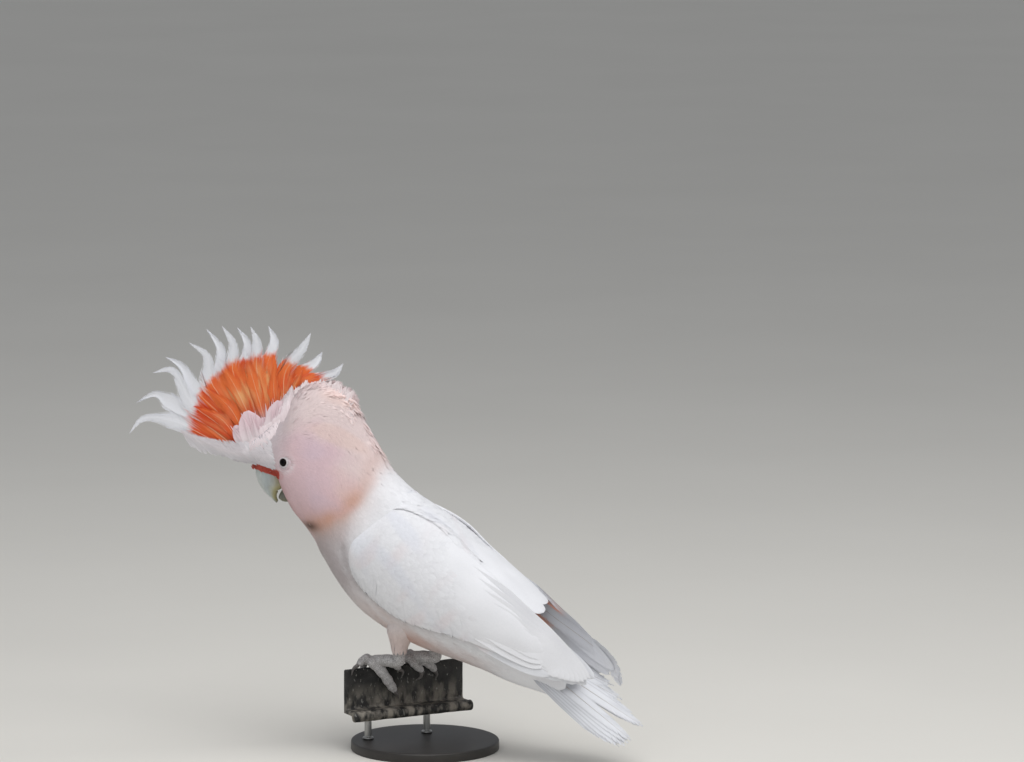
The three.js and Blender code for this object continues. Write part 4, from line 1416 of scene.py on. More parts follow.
TAIL_SHAFT = rgb(206, 202, 200)
TAIL_STRIPS = 12

tail_heap = Heap()
for word, side in SIDES.items():
    for k, (length, spread) in enumerate(TAIL_FAN[word]):
        spread = math.radians(side * spread)
        heading = tail_line * math.cos(spread) + tail_right * math.sin(spread)
        root = TAIL_ROOT + tail_right * side * (2 + k) - tail_up * 0.5 * k
        tip = root + heading * length - tail_up * 0.3 * k
        middle = (root + tip) / 2 + tail_up * 0.4
        feather = Feather([root, middle, tip], tail_up, blade(14, blunt=0.5))
        at = ((k + (6 if side > 0 else 0)) / TAIL_STRIPS, 0.075)
        # painted shade along each feather's edges, where the feathers meet
        tint = plain_tint(PRIMARY_WHITE, TAIL_SHAFT, worn=0.16, edge=0.22)
        add_vane(tail_heap, feather, tint, at, cup=0.6, end=0.95, sweep=1.3)
        add_feather(
            tail_heap, feather, tint, at, barbs=34, sweep=2.6, start=0.66, cup=0.6, lock=5, clump=0.3,
            ragged=0.03, quill=0.7, fringe=0.1, splits=3,
        )


def tail_cone(s, angle, lift=0):
    """The body's end, and from there a cone that closes over the tail's feathers."""
    s, angle = matched(s, angle)
    lift = np.asarray(lift, float)
    end = np.full(s.shape, TAIL_COVERED_FROM)
    start = body(end, angle, lift)
    ahead = start + unit(start - body(end - 0.8, angle, lift)) * 16
    across = (12 + lift) * np.sin(angle)
    above = np.cos(angle) * (lift + np.where(np.cos(angle) > 0, 0.0, 5.0))
    close = TAIL_ROOT + tail_line * TAIL_COVERED_TO
    close = close + across[..., None] * tail_right + above[..., None] * tail_up
    t = np.clip((s - end) / 3, 0, 1)[..., None]
    on_body = body(np.minimum(s, end), angle, lift)
    return np.where((s <= end)[..., None], on_body, arch(start, ahead, close, t))


TAIL_COVERTS = 18

covert_heap = Heap()
for k in range(TAIL_COVERTS):
    angle = -math.pi + 2 * math.pi * (k + 0.5) / TAIL_COVERTS
    surface_vane(
        covert_heap, tail_cone, [15.5 + 0.5 * (k % 2), 19.1 + 0.12 * (7 * k % 5)], [angle, angle],
        12.5, lambda v: 19 - 2.2 * (v - 16), raised_tip(-0.9 + 0.25 * (k % 2), 1.1), plain_tint(WHITE),
        (k / TAIL_COVERTS, 0.05), blunt=0.2,
    )
tail_coverts = covert_heap.finish("tail_coverts")
tail = tail_heap.finish("tail_feathers_worn")

# ---------- Crest ----------


def crest_tint(order):
    """White tips past a ragged line round the crest's middle, orange red with yellow streaks inside."""

    def tint(points, f, g):
        across = np.clip(g, -1, 1)
        reach = np.hypot(points[..., 0] - CREST_CENTRE[0], points[..., 2] - CREST_CENTRE[1])
        along_barbs = stacked(across * 6 + order * 5, f * 14, 0)
        streak = noise(along_barbs, 1.6, 31 + int(2 * order))
        limit = CREST_RED_RADIUS + 1.5 * math.sin(order * 2.3) + 1.6 * streak
        white = ramp(reach, limit - 1.6, limit + 2.2)
        yellow = bell(reach, 44, 15) * ramp(streak + 0.5 * math.sin(order * 1.7), -0.2, 0.8)
        middle = ramp(order, 3, 6) * fade(order, 10.5, 12.5)
        red = ramp(streak + 0.6 * (order < 3), -0.3, 0.7)
        red = mix(CREST_ORANGE, CREST_RED, red)
        colour = mix(red, CREST_YELLOW, np.clip(yellow * (0.35 + 0.65 * middle), 0, 1))
        root = fade(reach, 12, 26) * 0.7
        colour = mix(colour, PINK_WHITE, root)
        shaft = (g == ON_RACHIS) * (1 - white)
        colour = mix(colour, RACHIS, shaft * 0.8)
        return mix(colour, TIP_WHITE, white)

    return tint


def crest_width(width):
    """Broad where it is coloured, then a long tapering blade with a sharp tip."""

    def wide(f):
        f = np.asarray(f, float)
        full = 0.35 + 0.65 * smooth(f / 0.45)
        taper = 1 - 0.36 * smooth((f - 0.48) / 0.22)
        point = np.clip((1 - f) / 0.46, 0, 1) ** 0.9
        return width / 2 * full * taper * point

    return wide


def crest_points(root, middle, bend, tip, side, offset=0.0):
    """A crest feather's line from its [x, z] points, leaning a little to its own side."""
    root, middle = np.array(root, float), np.array(middle, float)
    line = [
        (root - (0, 4), 0.3),
        (middle * 0.45 + root * 0.55, 0.5),
        (middle * 0.9 + root * 0.1, 0.7),
        (bend, 0.7 * CREST_SPREAD),
        (tip, CREST_SPREAD),
    ]
    return [(p[0], side * out + offset, p[1]) for p, out in line]


def crest_feather(line, width, order, strip, cup, quill):
    """A solid blade with loose barbs along its edges."""
    feather = Feather(line, (0, 1, 0), crest_width(width))
    tint = crest_tint(order)
    add_vane(crest_heap, feather, tint, strip, rows=40, cup=cup, share=0.72, end=0.94, sweep=4.0)
    add_feather(
        crest_heap, feather, tint, strip, barbs=100, sweep=4.5, cup=cup, lock=9, clump=0.14,
        ragged=0.02, fringe=0.12, splits=3, quill=quill,
    )


# Which of the shorter crest feathers reach only as far as the red does.
CREST_SHORTEST = (0, 1, 2, 3, 9, 11)

crest_heap = Heap()
strips = 2 * len(CREST)
for i, ((root, middle, tip, width), bend) in enumerate(zip(CREST, CREST_BENDS)):
    side = 1 if i % 2 else -1
    line = crest_points(root, middle, bend, tip, side)
    crest_feather(line, width * 1.25, i, (i / strips, 0.9 / strips), 0.5 * side, 0.5)
# shorter ones between them, that leave the front tips apart
for i in range(len(CREST) - 1):
    side = -1 if i % 2 else 1
    root, middle = ((np.array(CREST[i][k]) + np.array(CREST[i + 1][k])) / 2 for k in range(2))
    way = unit(middle - CREST_CENTRE)
    reach = CREST_RED_RADIUS + (rng.uniform(-2, 3) if i in CREST_SHORTEST else rng.uniform(6, 14))
    middle, bend, tip = (CREST_CENTRE + way * (reach - short) for short in (24, 10, 0))
    line = crest_points(root, middle, bend, tip, side, side * 0.9)
    crest_feather(line, 12, i + 0.5, ((i + len(CREST)) / strips, 0.9 / strips), 0.4 * side, 0.4)
crest = crest_heap.finish("crest_feathers")

# ---------- Plumes round the crest's root ----------

FOREHEAD = rgb(220, 216, 219)
FOREHEAD_TIP = rgb(236, 229, 232)
APRON = rgb(236, 220, 222)
APRON_TIP = rgb(246, 234, 236)
BORDER = rgb(238, 217, 218)
BORDER_TIP = rgb(246, 234, 234)
LOBE_ROOT = rgb(244, 232, 234)
LOBE_STRAND = rgb(246, 236, 238)
LOBE = rgb(240, 216, 222)
CHIN = rgb(212, 194, 187)
CHIN_TIP = rgb(228, 216, 210)
LONG = vane(9, 5, [0.4, 0.75, 0.95, 1.0, 0.95, 0.8, 0.55, 0.3, 0.05])
LONG_FINE = vane(7, 3, [0.4, 0.8, 1.0, 0.95, 0.75, 0.42, 0.05])

# Lower and upper edge of the wedge under the crest and of the crown's apron, and the border's top.
WEDGE_LOW = Curve([(-116, 172.5), (-131, 175), (-148, 179.5), (-163, 188), (-181, 197)])
WEDGE_HIGH = Curve([(-121, 189), (-131, 189.5), (-145, 190), (-163, 193), (-181, 198)])
APRON_LOW = Curve([(-119, 184), (-107, 192), (-97, 203), (-90, 216), (-86, 226)])
APRON_HIGH = Curve([(-124, 193), (-112, 204), (-100, 214), (-91, 229), (-83, 240)])
BORDER_TOP = Curve([(-85, 233), (-80, 240), (-70, 242), (-59, 245), (-49, 243), (-39, 240), (-30, 232)])
# Root, top, width and distance out of the rounded feathers over the crest's root.
LOBES = (
    ((-120, 182), (-133, 203), 14, 5.0),
    ((-104, 188), (-108, 211), 15, 5.0),
    ((-93, 198), (-83, 229), 16, 5.0),
    ((-112, 183), (-122.6, 216), 23, 6.5),
    ((-98, 192), (-93.8, 226), 20, 6.5),
)
# How many feathers there are on each side.
IN_WEDGE, IN_APRON, IN_BORDER, ON_LOBE = 1300, 900, 640, 26
FINE_ON_NAPE, POINTED_ON_NAPE, ON_CHIN = 1700, 1100, 26


def shaded(root, tip, low=0.2, high=0.9):
    """One colour at a vane's root and another at its tip."""

    def tint(points, f):
        colour = mix(root, tip, ramp(f, low, high))
        return colour * (1 + 0.02 * noise(points, 4, 13)[..., None])

    return tint


def like_coat(s, brighter=0.1):
    """The coat's own colours, a little brighter towards the tips."""

    def tint(points, f):
        return plumage(points, np.broadcast_to(s[:, None], f.shape)) * (1 + brighter * f)[..., None]

    return tint


head_tree = BVHTree.FromPolygons(
    [Vector(q) for q in skin_points], [tuple(q) for quads in skin_faces for q in quads]
)


def head_side(x, z, side):
    """How far out the head's skin is at (x, z) in the side view, or 0 where there is none."""
    out = np.zeros(len(x))
    for i in range(len(x)):
        hit = head_tree.ray_cast(Vector((x[i], side * 60, z[i])), Vector((0, -side, 0)))[0]
        if hit is not None:
            out[i] = side * hit[1]
    return out


def shingled(side, tips, way, tall, width, rise, tint, chart, narrow):
    """Feathers over the side of the head: tips (x, z) and the way (x, z) that each points. rise is how
    far over the skin a tip is, and narrow how far out it is at least."""
    roots = tips - way * tall[:, None]
    at_tip = np.maximum(head_side(tips[:, 0], tips[:, 1], side) + rise, narrow)
    at_root = np.maximum(head_side(roots[:, 0], roots[:, 1], side) + 0.5, narrow * 0.9)
    at_root = np.minimum(at_root, at_tip + 0.6 * tall)
    start = stacked(roots[:, 0], side * at_root, roots[:, 1])
    end = stacked(tips[:, 0], side * at_tip, tips[:, 1])
    length = np.linalg.norm(end - start, axis=1)
    aims = (end - start) / length[:, None]
    flats = np.broadcast_to(np.array([0.0, side, 0.0]), aims.shape)
    tufts(plume_heap, start, aims, flats, length, width, 0.5, tint, chart, LONG_FINE, cup=0.03, vary=0.02)


def wedge(side):
    """Close feathers that run forward from the forehead under the crest."""
    n = IN_WEDGE
    ahead, level = -0.42 + 1.42 * rng.uniform(0, 1, n), 1.1 * rng.uniform(0, 1, n)
    forward, behind = np.maximum(ahead, 0), np.minimum(ahead, 0)[:, None]
    low = WEDGE_LOW.at(forward * WEDGE_LOW.last) + behind * np.array([-44, 8])
    high = WEDGE_HIGH.at(forward * WEDGE_HIGH.last) + behind * np.array([-46, -20])
    tips = low + (high - low) * level[:, None]
    from_middle = np.minimum(np.abs(2 * level - 1), 1) ** 2 * (0.4 + 0.6 * (level < 0.5))
    out = (8.5 - 6.6 * forward) * (1 - 0.75 * from_middle) + 0.8
    rise = np.radians(14 + 30 * level + 8 * forward + 3 * rng.standard_normal(n))
    way = stacked(-np.cos(rise), np.sin(rise))
    tall = rng.uniform(12, 18, n) * (0.7 + 0.5 * forward) * (1 - 0.4 * (ahead < 0.05))
    chart = stacked(0.1 + 0.1 * ahead, 0.3 + 0.2 * level + 0.1 * side)
    grey = shaded(FOREHEAD, FOREHEAD_TIP, 0.2, 1.0)
    shingled(side, tips, way, tall * 1.1, 2.1, 1.1, grey, chart, out)


def apron(side):
    """From the wedge up the crown to the crest's root."""
    n = IN_APRON
    behind, level = rng.uniform(0, 1, n), rng.uniform(0, 1, n)
    low, high = APRON_LOW.at(behind * APRON_LOW.last), APRON_HIGH.at(behind * APRON_HIGH.last)
    tips = low + (high - low) * level[:, None]
    steep = 128 - 34 * behind - 12 * (1 - level) * (1 - behind)
    rise = np.radians(steep + 4 * rng.standard_normal(n))
    way = stacked(np.cos(rise), np.sin(rise))
    chart = stacked(0.2 + 0.1 * behind, 0.3 + 0.2 * level + 0.1 * side)
    pale = shaded(APRON, APRON_TIP, 0.2, 1.0)
    shingled(side, tips, way, rng.uniform(8, 10.5, n), 2.4, 1.5, pale, chart, 8.8 - 4.4 * level)


def border(side):
    """Soft feathers standing up behind the crest, their tips the top of the head."""
    n = IN_BORDER
    along = rng.uniform(0, 1, n)
    top = BORDER_TOP.at(along * BORDER_TOP.last)
    under = rng.uniform(0, 1, n) ** 1.3
    out = side * (1.2 + 10.5 * under + rng.uniform(-1, 1, n))
    tips = stacked(top[:, 0] + 2.5 * under, out, top[:, 1] - 26 * under**1.4)
    tips[:, 2] += 2.2 * noise(tips, 3.6, 35) * (1 - under) - 0.8
    lean = np.radians(-14 + 52 * along + 3 * rng.standard_normal(n)) + 0.22 * noise(tips, 7, 36)
    sideways = side * (-0.22 + 0.05 * rng.standard_normal(n))
    aims = unit(stacked(np.sin(lean), sideways, np.cos(lean)))
    tall = rng.uniform(14, 20, n)
    flats = np.broadcast_to(np.array([0.0, side, 0.0]), aims.shape)
    tufts(
        plume_heap, tips - aims * tall[:, None], aims, flats, tall, 3.6, 0.5,
        shaded(BORDER, BORDER_TIP, 0.3, 1.0), stacked(0.3 + 0.1 * along, 0.4 + 0.2 * under),
        LONG_FINE, cup=0.03, vary=0.02,
    )


def lobes(side):
    """Rounded pink-white feathers standing over the crest's root, with loose strands."""
    facing = np.array([0.0, side, 0.0])
    for root, top, width, out in LOBES:
        root = np.array([root[0], side * out, root[1]])
        top = np.array([top[0], side * (out - 0.9), top[1]])
        length = np.linalg.norm(top - root)
        aim = (top - root)[None] / length
        tufts(
            plume_heap, root[None], aim, facing[None] + np.array([0.1, 0, 0]), length, width, 1.2,
            shaded(LOBE_ROOT, LOBE, 0.2, 0.8), np.array([[0.3, 0.5 + 0.1 * side]]), COVERT, cup=0.035,
        )
        n = ON_LOBE
        aims = unit(aim + rng.normal(0, 0.11, (n, 3)) * np.array([1, 0.3, 1]))
        roots = root + rng.normal(0, width * 0.12, (n, 3)) * np.array([1, 0.2, 0.5])
        tufts(
            plume_heap, roots, aims, np.broadcast_to(facing, aims.shape),
            length * rng.uniform(0.75, 1.03, n), 2.6, 1.6,
            shaded(LOBE_STRAND, LOBE, 0.2, 0.8), np.full((n, 2), 0.3), LONG,
        )


def over_body(s, angle, sunk, loose, scatter, fall, length, spread, width, bend, tint, shape, vary):
    """Free vanes on the body at (s, angle). loose is how far they stand out from it, scatter how
    unevenly, and fall how much they hang."""
    at, lie, out = axes_on_body(s, angle)
    aims = unit(lie + loose * out + rng.normal(0, scatter, (len(s), 3)) - np.array([0, 0, fall]))
    chart = stacked(*body_chart(s, angle))
    length = length * rng.uniform(*spread, len(s))
    tufts(nape_heap, at - sunk * out, aims, out, length, width, bend, tint, chart, shape, vary=vary)


def nape(side):
    """Fine feathers over the crown and down the nape, and pointed ones that stand out a little."""
    n = FINE_ON_NAPE
    s = 3.0 + 6.3 * rng.uniform(0, 1, n)
    angle = side * np.clip(np.abs(rng.normal(0, 0.3, n)), 0, 0.75)
    loose = (0.02 + 0.08 * bell(angle, 0, 0.25))[:, None]
    over_body(s, angle, 0.7, loose, 0.025, 0, 1, (7, 10), 1.5, -0.3, like_coat(s), SOFT, 0.03)
    n = POINTED_ON_NAPE
    s = 3.2 + 6.0 * rng.uniform(0, 1, n)
    angle = side * np.clip(np.abs(rng.normal(0, 0.42, n)), 0, 1.05)
    bunch = ramp(noise(body(s, angle), 3.6, 34), -0.4, 0.8)
    loose = (0.04 + 0.28 * bunch * (1 - 0.6 * ramp(s, 8, 9.2)) * bell(angle, 0, 0.4))[:, None]
    over_body(
        s, angle, 0.9, loose, 0.04, 0, 8 + 4.5 * bunch, (0.85, 1.1), 2.3, -0.6, like_coat(s, 0.16),
        LONG_FINE, 0.02,
    )


def chin(side):
    """Pale filaments over the painted shadow under the chin."""
    s = rng.uniform(5.2, 6.2, ON_CHIN)
    angle = side * rng.uniform(2.3, 3.1, ON_CHIN)
    over_body(s, angle, 0.3, 0.08, 0.1, 0.15, 1, (4, 6.5), 0.5, -0.3, shaded(CHIN, CHIN_TIP), TUFT, 0.03)


plume_heap, nape_heap = Heap(), Heap()
for side in SIDES.values():
    for part in (wedge, apron, border, lobes, nape, chin):
        part(side)
nape_plumes = nape_heap.finish("nape_plumes")
plumes = plume_heap.finish("crest_root_plumes")

# ---------- Thighs ----------

THIGH_RUSTY = rgb(216, 194, 186)


def thigh_tint(points, v):
    """Nearly white, rustier lower down. It goes by the points, not by the section v."""
    rusty = 0.6 * fade(points[..., 2], 26, 42)
    base = mix(THIGH, THIGH_RUSTY, rusty)
    return base * (1 + 0.03 * noise(points, 5, 8)[..., None])


def thigh_chart(v, angle):
    return 0.04 + 0.9 * (v + 0.5) / 4, 0.02 + 0.96 * (angle % (2 * math.pi)) / (2 * math.pi)


thigh_coats = []
for word, side in SIDES.items():
    surface = thigh(side)
    u, v = rows_of(surface, -0.4, 3.15, 0, 2 * math.pi, lambda t: 1.7, lambda t: 1.8, 0.0, closed=True)
    u, v = moved(u, v, 0.03, 0.06)
    low = ramp(u, 1, 3)
    heap = Heap()
    coat(
        heap, surface, u, v, 8.0 - 2.6 * low, 2.5 - 0.7 * low, 1.2, 0.08 + 0.2 * rng.uniform(0, 1, len(u)),
        thigh_tint, thigh_chart, 0.15 * rng.standard_normal(len(u)), PLUME,
    )
    thigh_coats.append(heap.finish(f"coat_thigh_{word}"))

# ---------- Eyes ----------

PUPIL = rgb(6, 6, 8)
IRIS = rgb(20, 13, 11)
LID = rgb(214, 206, 208)
LID_EDGE = rgb(232, 212, 217)
# Radius of the pupil, the iris and the lid's rim, and how far the bare skin round it reaches.
PUPIL_RADIUS, IRIS_RADIUS, LID_RADIUS, LID_REACH = 1.9, 3.3, 3.9, 8.4


def eye_axes(side):
    """Centre of an eye, the way it looks, and two directions across that."""
    centre = np.array([EYE[0], side * (EYE[1] - EYE_RADIUS), EYE[2]])
    axis = unit(np.array([-0.28, side, 0.03]))
    first = unit(np.cross(axis, np.array([0, 0, 1.0])))
    return centre, axis, first, np.cross(axis, first)


def eyeball(word, side):
    """A dark ball, with the iris a little paler than the pupil and the rim."""
    centre, axis, first, second = eye_axes(side)
    tilt, turn = grid_of(np.linspace(0.02, math.pi - 0.02, 33), turns(48))
    off = EYE_RADIUS * np.sin(tilt)
    round_it = np.cos(turn)[..., None] * first + np.sin(turn)[..., None] * second
    ball = centre + EYE_RADIUS * np.cos(tilt)[..., None] * axis + off[..., None] * round_it
    streaks = 1 + 0.25 * np.sin(turn * 37) * np.sin(turn * 23)
    outside_pupil = ramp(off, PUPIL_RADIUS - 0.2, PUPIL_RADIUS + 0.2)
    tint = mix(PUPIL, IRIS * streaks[..., None], outside_pupil)
    tint = mix(tint, PUPIL, ramp(off, IRIS_RADIUS - 0.2, IRIS_RADIUS + 0.2))
    v, quads, caps = closed_tube(ball)
    tint = np.vstack([tint.reshape(-1, 3), PUPIL, PUPIL])
    return mesh_object(f"eye_{word}_ball", place(v), [quads, caps], tint)


def curved(x, y):
    """The terms of a curved sheet over a plane."""
    return stacked(1, x, y, x * x, x * y, y * y)


def eyelid(word, side):
    """A ring of bare skin round the eye, folded below and behind it."""
    centre, axis, first, second = eye_axes(side)
    radius = np.concatenate([np.linspace(3.25, 4.2, 7), np.linspace(4.4, LID_REACH, 26)])
    rr, tt = grid_of(radius, turns(96))
    round_it = np.cos(tt)[..., None] * first + np.sin(tt)[..., None] * second
    # height of the face over the eye's centre, all round it
    local = sample[np.linalg.norm(sample - centre, axis=1) < 22] - centre
    local = local[(local @ axis) > 0]
    terms = np.linalg.lstsq(curved(local @ first, local @ second), local @ axis, rcond=None)[0]
    level = curved(rr * np.cos(tt), rr * np.sin(tt)) @ terms
    sphere = np.sqrt(np.maximum(EYE_RADIUS**2 - rr**2, 0.01))
    rim = 0.5 * bell(rr, LID_RADIUS, 0.55)
    low_rear = np.clip(round_it @ unit(np.array([0.55, 0, -0.83])), 0, 1)
    folds = np.sin((rr - 4.6) * 2 * math.pi / 0.95 + 0.5 * np.sin(tt * 2))
    folds = folds * ramp(rr, 4.4, 5.0) * fade(rr, 7, 8.2)
    wrinkles = 0.06 * np.sin(tt * 41 + 3 * np.sin(rr * 3)) * bell(rr, 4.3, 0.7)
    height = level - 0.15 + rim + (0.07 + 0.26 * low_rear) * folds + wrinkles
    height = height - 1.3 * ramp(rr, 7.0, LID_REACH)
    height = np.where(rr < 4.3, np.maximum(height, sphere - 0.12 + rim), height)
    height[0] = sphere[0] - 0.35
    ring = centre + rr[..., None] * round_it + axis * height[..., None]
    tone = mix(LID, LID_EDGE, ramp(rr, 5.0, 6.6))
    # painted shade: darker at the lid's inner edge against the eye, and in the troughs of its folds
    tone = tone * (1 - 0.5 * bell(rr, 3.3, 0.25))[..., None]
    tone = tone * (1 + (0.1 + 0.2 * low_rear) * np.clip(folds, -1, 0))[..., None]
    faces = grid_faces(*rr.shape, wrap=True)
    return mesh_object(f"lid_{word}", place(ring.reshape(-1, 3)), faces, tone.reshape(-1, 3))


eye_pieces = {word: (eyeball(word, side), eyelid(word, side)) for word, side in SIDES.items()}

# ---------- Bill ----------

HORN = rgb(178, 186, 186)
HORN_PALE = rgb(198, 203, 200)
HORN_YELLOW = rgb(172, 166, 112)
DARK_HORN_AND_SHADE = rgb(84, 80, 62)


def bill(name, sections, lower):
    """A mandible with a ridge down the upper one's front, a notch in its edge and growth lines."""
    front, back = Curve([b[0] for b in sections]), Curve([b[1] for b in sections])
    half = Curve([(b[2], 0, i) for i, b in enumerate(sections)])
    t, a = rings(70, len(sections) - 1, 64)
    f, b, w = front.at(t), back.at(t), half.at(t)[..., 0]
    share = t / (len(sections) - 1)
    cos, sin = np.cos(a), np.sin(a)
    across = w * rounded(sin, 0.85) * (1 - 0.16 * np.clip(cos, 0, 1) ** 3)
    ridge = 0 if lower else 0.06 * np.clip(cos, 0, 1) ** 10 * (1 - share)
    notch = 0 if lower else 0.225 * bell(share, 0.62, 0.05) * np.clip(-cos, 0, 1) ** 2
    p = (f + b) / 2 + (f - b) / 2 * (cos + ridge + notch)[..., None]
    steps = 0.001 * np.sin(share * 46 + 1.5 * np.sin(a * 3)) * (1 - share)
    points = stacked(p[..., 0], across * (1 + steps), p[..., 1])
    points = points + 0.05 * noise(points, 1.6, 41)[..., None]
    rear = np.clip(0.5 - 0.5 * cos, 0, 1)
    yellow = 0.85 * ramp(rear + 0.55 * share + 0.06 * noise(points, 3, 42), 0.62, 1.15)
    tone = mix(HORN, HORN_PALE, ramp(cos, 0.2, 0.9))
    tone = mix(tone, HORN_YELLOW, yellow)
    tone = mix(tone, DARK_HORN_AND_SHADE, 0.6 * ramp(share, 0.82, 1.0))
    # painted shade: the lower mandible, under the upper one, darkened all over
    if lower:
        tone = mix(tone, DARK_HORN_AND_SHADE, 0.8)
    tone = tone * (1 + 0.05 * noise(points * np.array([3, 3, 0.6]), 2.0, 43)[..., None])
    v, quads, caps = closed_tube(points)
    tone = np.vstack([tone.reshape(-1, 3), tone[0, 0], tone[-1, 0]])
    return mesh_object(name, place(v), [quads, caps], tone)


bill_pieces = {
    "bill_upper": bill("upper_mandible", BILL_UPPER, False),
    "bill_lower": bill("lower_mandible", BILL_LOWER, True),
}

IN_CERE = 420


def cere(heap, side):
    """Red feathers over the base of the bill."""
    n = IN_CERE
    along, down = rng.uniform(0, 1, n), rng.uniform(-2.4, 4.2, n)
    at = CERE_LINE.at(along * CERE_LINE.last)
    x, z = at[:, 0] - 0.25 * down, at[:, 1] - down
    # how far back from the bill's middle, from -1 to 1
    middle = (x + 103.5) / 12.5
    y = np.maximum(9.2 * np.sqrt(np.maximum(1 - middle**2, 0.05)), head_side(x, z, side))
    roots = stacked(x, side * (y + 0.15), z)
    rise = -0.42 + 0.12 * rng.standard_normal(n)
    aims = unit(stacked(0.85, side * (0.25 - 0.5 * middle), rise))
    flats = np.broadcast_to(np.array([-0.3, side, 0.1]), aims.shape)
    length = rng.uniform(3, 4.4, n) * (1 - 0.45 * ramp(along, 0.75, 1.0))
    chart = stacked(0.1 + 0.2 * along, 0.4 + 0.1 * side + 0.01 * down)
    red = shaded(CERE * 0.85, CERE * 1.15)
    tufts(heap, roots - aims * 1.5, aims, flats, length, 1.1, 0.1, red, chart, TUFT)


cere_heap = Heap()
for side in SIDES.values():
    cere(cere_heap, side)
cere_band = cere_heap.finish("coat_over_bill")

# ---------- Feet ----------

FOOT_GREY = rgb(192, 190, 190)
FOOT_WARM = rgb(170, 168, 166)
FOOT_DARK = rgb(116, 112, 111)
CLAW_GREY = rgb(92, 88, 86)
# Spacing of the feet's scales, and how deep the furrows between them are.
SCALE_SIZE = 1.15
FURROW_DEPTH = 0.34
# A claw's radius at its root as a share of the toe's end, then part way along and at its tip.
CLAW_ROOT, CLAW_MIDDLE, CLAW_TIP = 0.66, 1.25, 0.3


def limb(points, radii, count=26, around=20, swell=0.0):
    """Rings of a round limb along a path, closed by half balls."""
    path, size = Curve(points), Curve([(r, 0, i) for i, r in enumerate(radii)])
    t = np.linspace(0, path.last, count)
    centre, heading, r = path.at(t), path.heading(t), size.at(t / path.last * size.last)[:, 0]
    r = r * (1 + swell * np.cos(t / path.last * 2 * math.pi * (len(points) - 0.6)))

    def half_ball(end, way):
        """Its rings, from the limb outwards."""
        return [
            (centre[end] + way * heading[end] * r[end] * math.sin(k), heading[end], r[end] * math.cos(k))
            for k in np.radians([28, 55, 80])
        ]

    every = half_ball(0, -1)[::-1] + list(zip(centre, heading, r)) + half_ball(-1, 1)
    across = unit(np.cross(every[0][1], np.array([0.3, 0.9, 0.4])))
    angle = turns(around)[:, None]
    grid = []
    for middle, way, wide in every:
        across = unit(across - way * (across @ way))
        grid.append(middle + wide * (np.cos(angle) * across + np.sin(angle) * np.cross(way, across)))
    return np.array(grid)


def foot(word, side):
    """A shank and its toes as one skin, with scales and furrows between them."""
    shells = [limb(*SHANK, swell=0.03)]
    shells += [limb(path, radii, swell=0.07) for path, radii, _ in TOES[word].values()]
    points, faces = remeshed(f"foot_{word}_shells", shells, 0.5, 3)
    # scale centres: the first point to fall in each cell
    everywhere = np.concatenate([g.reshape(-1, 3) for g in shells])
    order = rng.permutation(len(everywhere))
    picked = everywhere[order] + rng.normal(0, 0.25, (len(order), 3))
    cells = {}
    for q in picked:
        cells.setdefault(tuple(np.floor(q / SCALE_SIZE).astype(int)), q)
    scales = tree_of(list(cells.values()))
    near = np.array([[found[2] for found in scales.find_n(q, 2)] for q in points])
    furrow = ramp(near[:, 1] - near[:, 0], 0.0, 0.45)
    probe = mesh_object("probe", points * MILLIMETRE, faces)
    normals = np.zeros(len(points) * 3)
    probe.data.vertices.foreach_get("normal", normals)
    bpy.data.objects.remove(probe)
    height = FURROW_DEPTH * (furrow - 0.6) + 0.12 * noise(points, 2.2, 51)
    bumped = points + normals.reshape(-1, 3) * height[:, None]
    # painted shade: darker in the furrows between the scales
    tone = mix(FOOT_DARK, FOOT_GREY, 0.25 + 0.75 * furrow)
    tone = mix(tone, FOOT_WARM, 0.25 * ramp(noise(points, 3.1, 52), 0.1, 0.8) * furrow)
    return mesh_object(f"foot_{word}_skin", foot_place(side)(bumped), faces, tone)


def claws(word, side):
    """The four claws of a foot, as one piece."""
    heap = Heap()
    for _, radii, path in TOES[word].values():
        grid = limb(path, [radii[-1] * CLAW_ROOT, CLAW_MIDDLE, CLAW_TIP], count=18, around=16)
        squeeze = 1 + 0.03 * noise(grid, 1.4, 53)
        middle = grid.mean(1, keepdims=True)
        grid = middle + (grid - middle) * squeeze[..., None]
        tone = CLAW_GREY * (1 + 0.12 * noise(grid * np.array([1, 1, 0.4]), 1.2, 54))[..., None]
        quads = grid_faces(*grid.shape[:2], wrap=True)
        heap.add(grid.reshape(1, -1, 3), quads, tone.reshape(1, -1, 3), 0.5, 0)
    return heap.finish(f"claws_{word}", foot_place(side))


foot_pieces = {word: (foot(word, side), claws(word, side)) for word, side in SIDES.items()}

# ---------- Rim and stand ----------


def lathe(name, outline, at, around):
    """A turned solid from its outline of (radius, height) points, centred at a place."""
    r, z = np.array(outline, float).T[..., None]
    angle = turns(around)
    v, quads, caps = closed_tube(stacked(r * np.cos(angle), r * np.sin(angle), z))
    return mesh_object(name, MILLIMETRE * (v + np.array(at)), [quads, caps])


def arc(x, z, radius, start, end, count):
    """Points of an arc from one angle to another."""
    return [(x + radius * math.cos(a), z + radius * math.sin(a)) for a in np.linspace(start, end, count)]


def level_line(start, end, z, count):
    """Points of a line across, at height z."""
    return [(x, z) for x in np.linspace(start, end, count)]


def upright_line(x, start, end, count):
    """Points of a line up or down, x out."""
    return [(x, z) for z in np.linspace(start, end, count)]


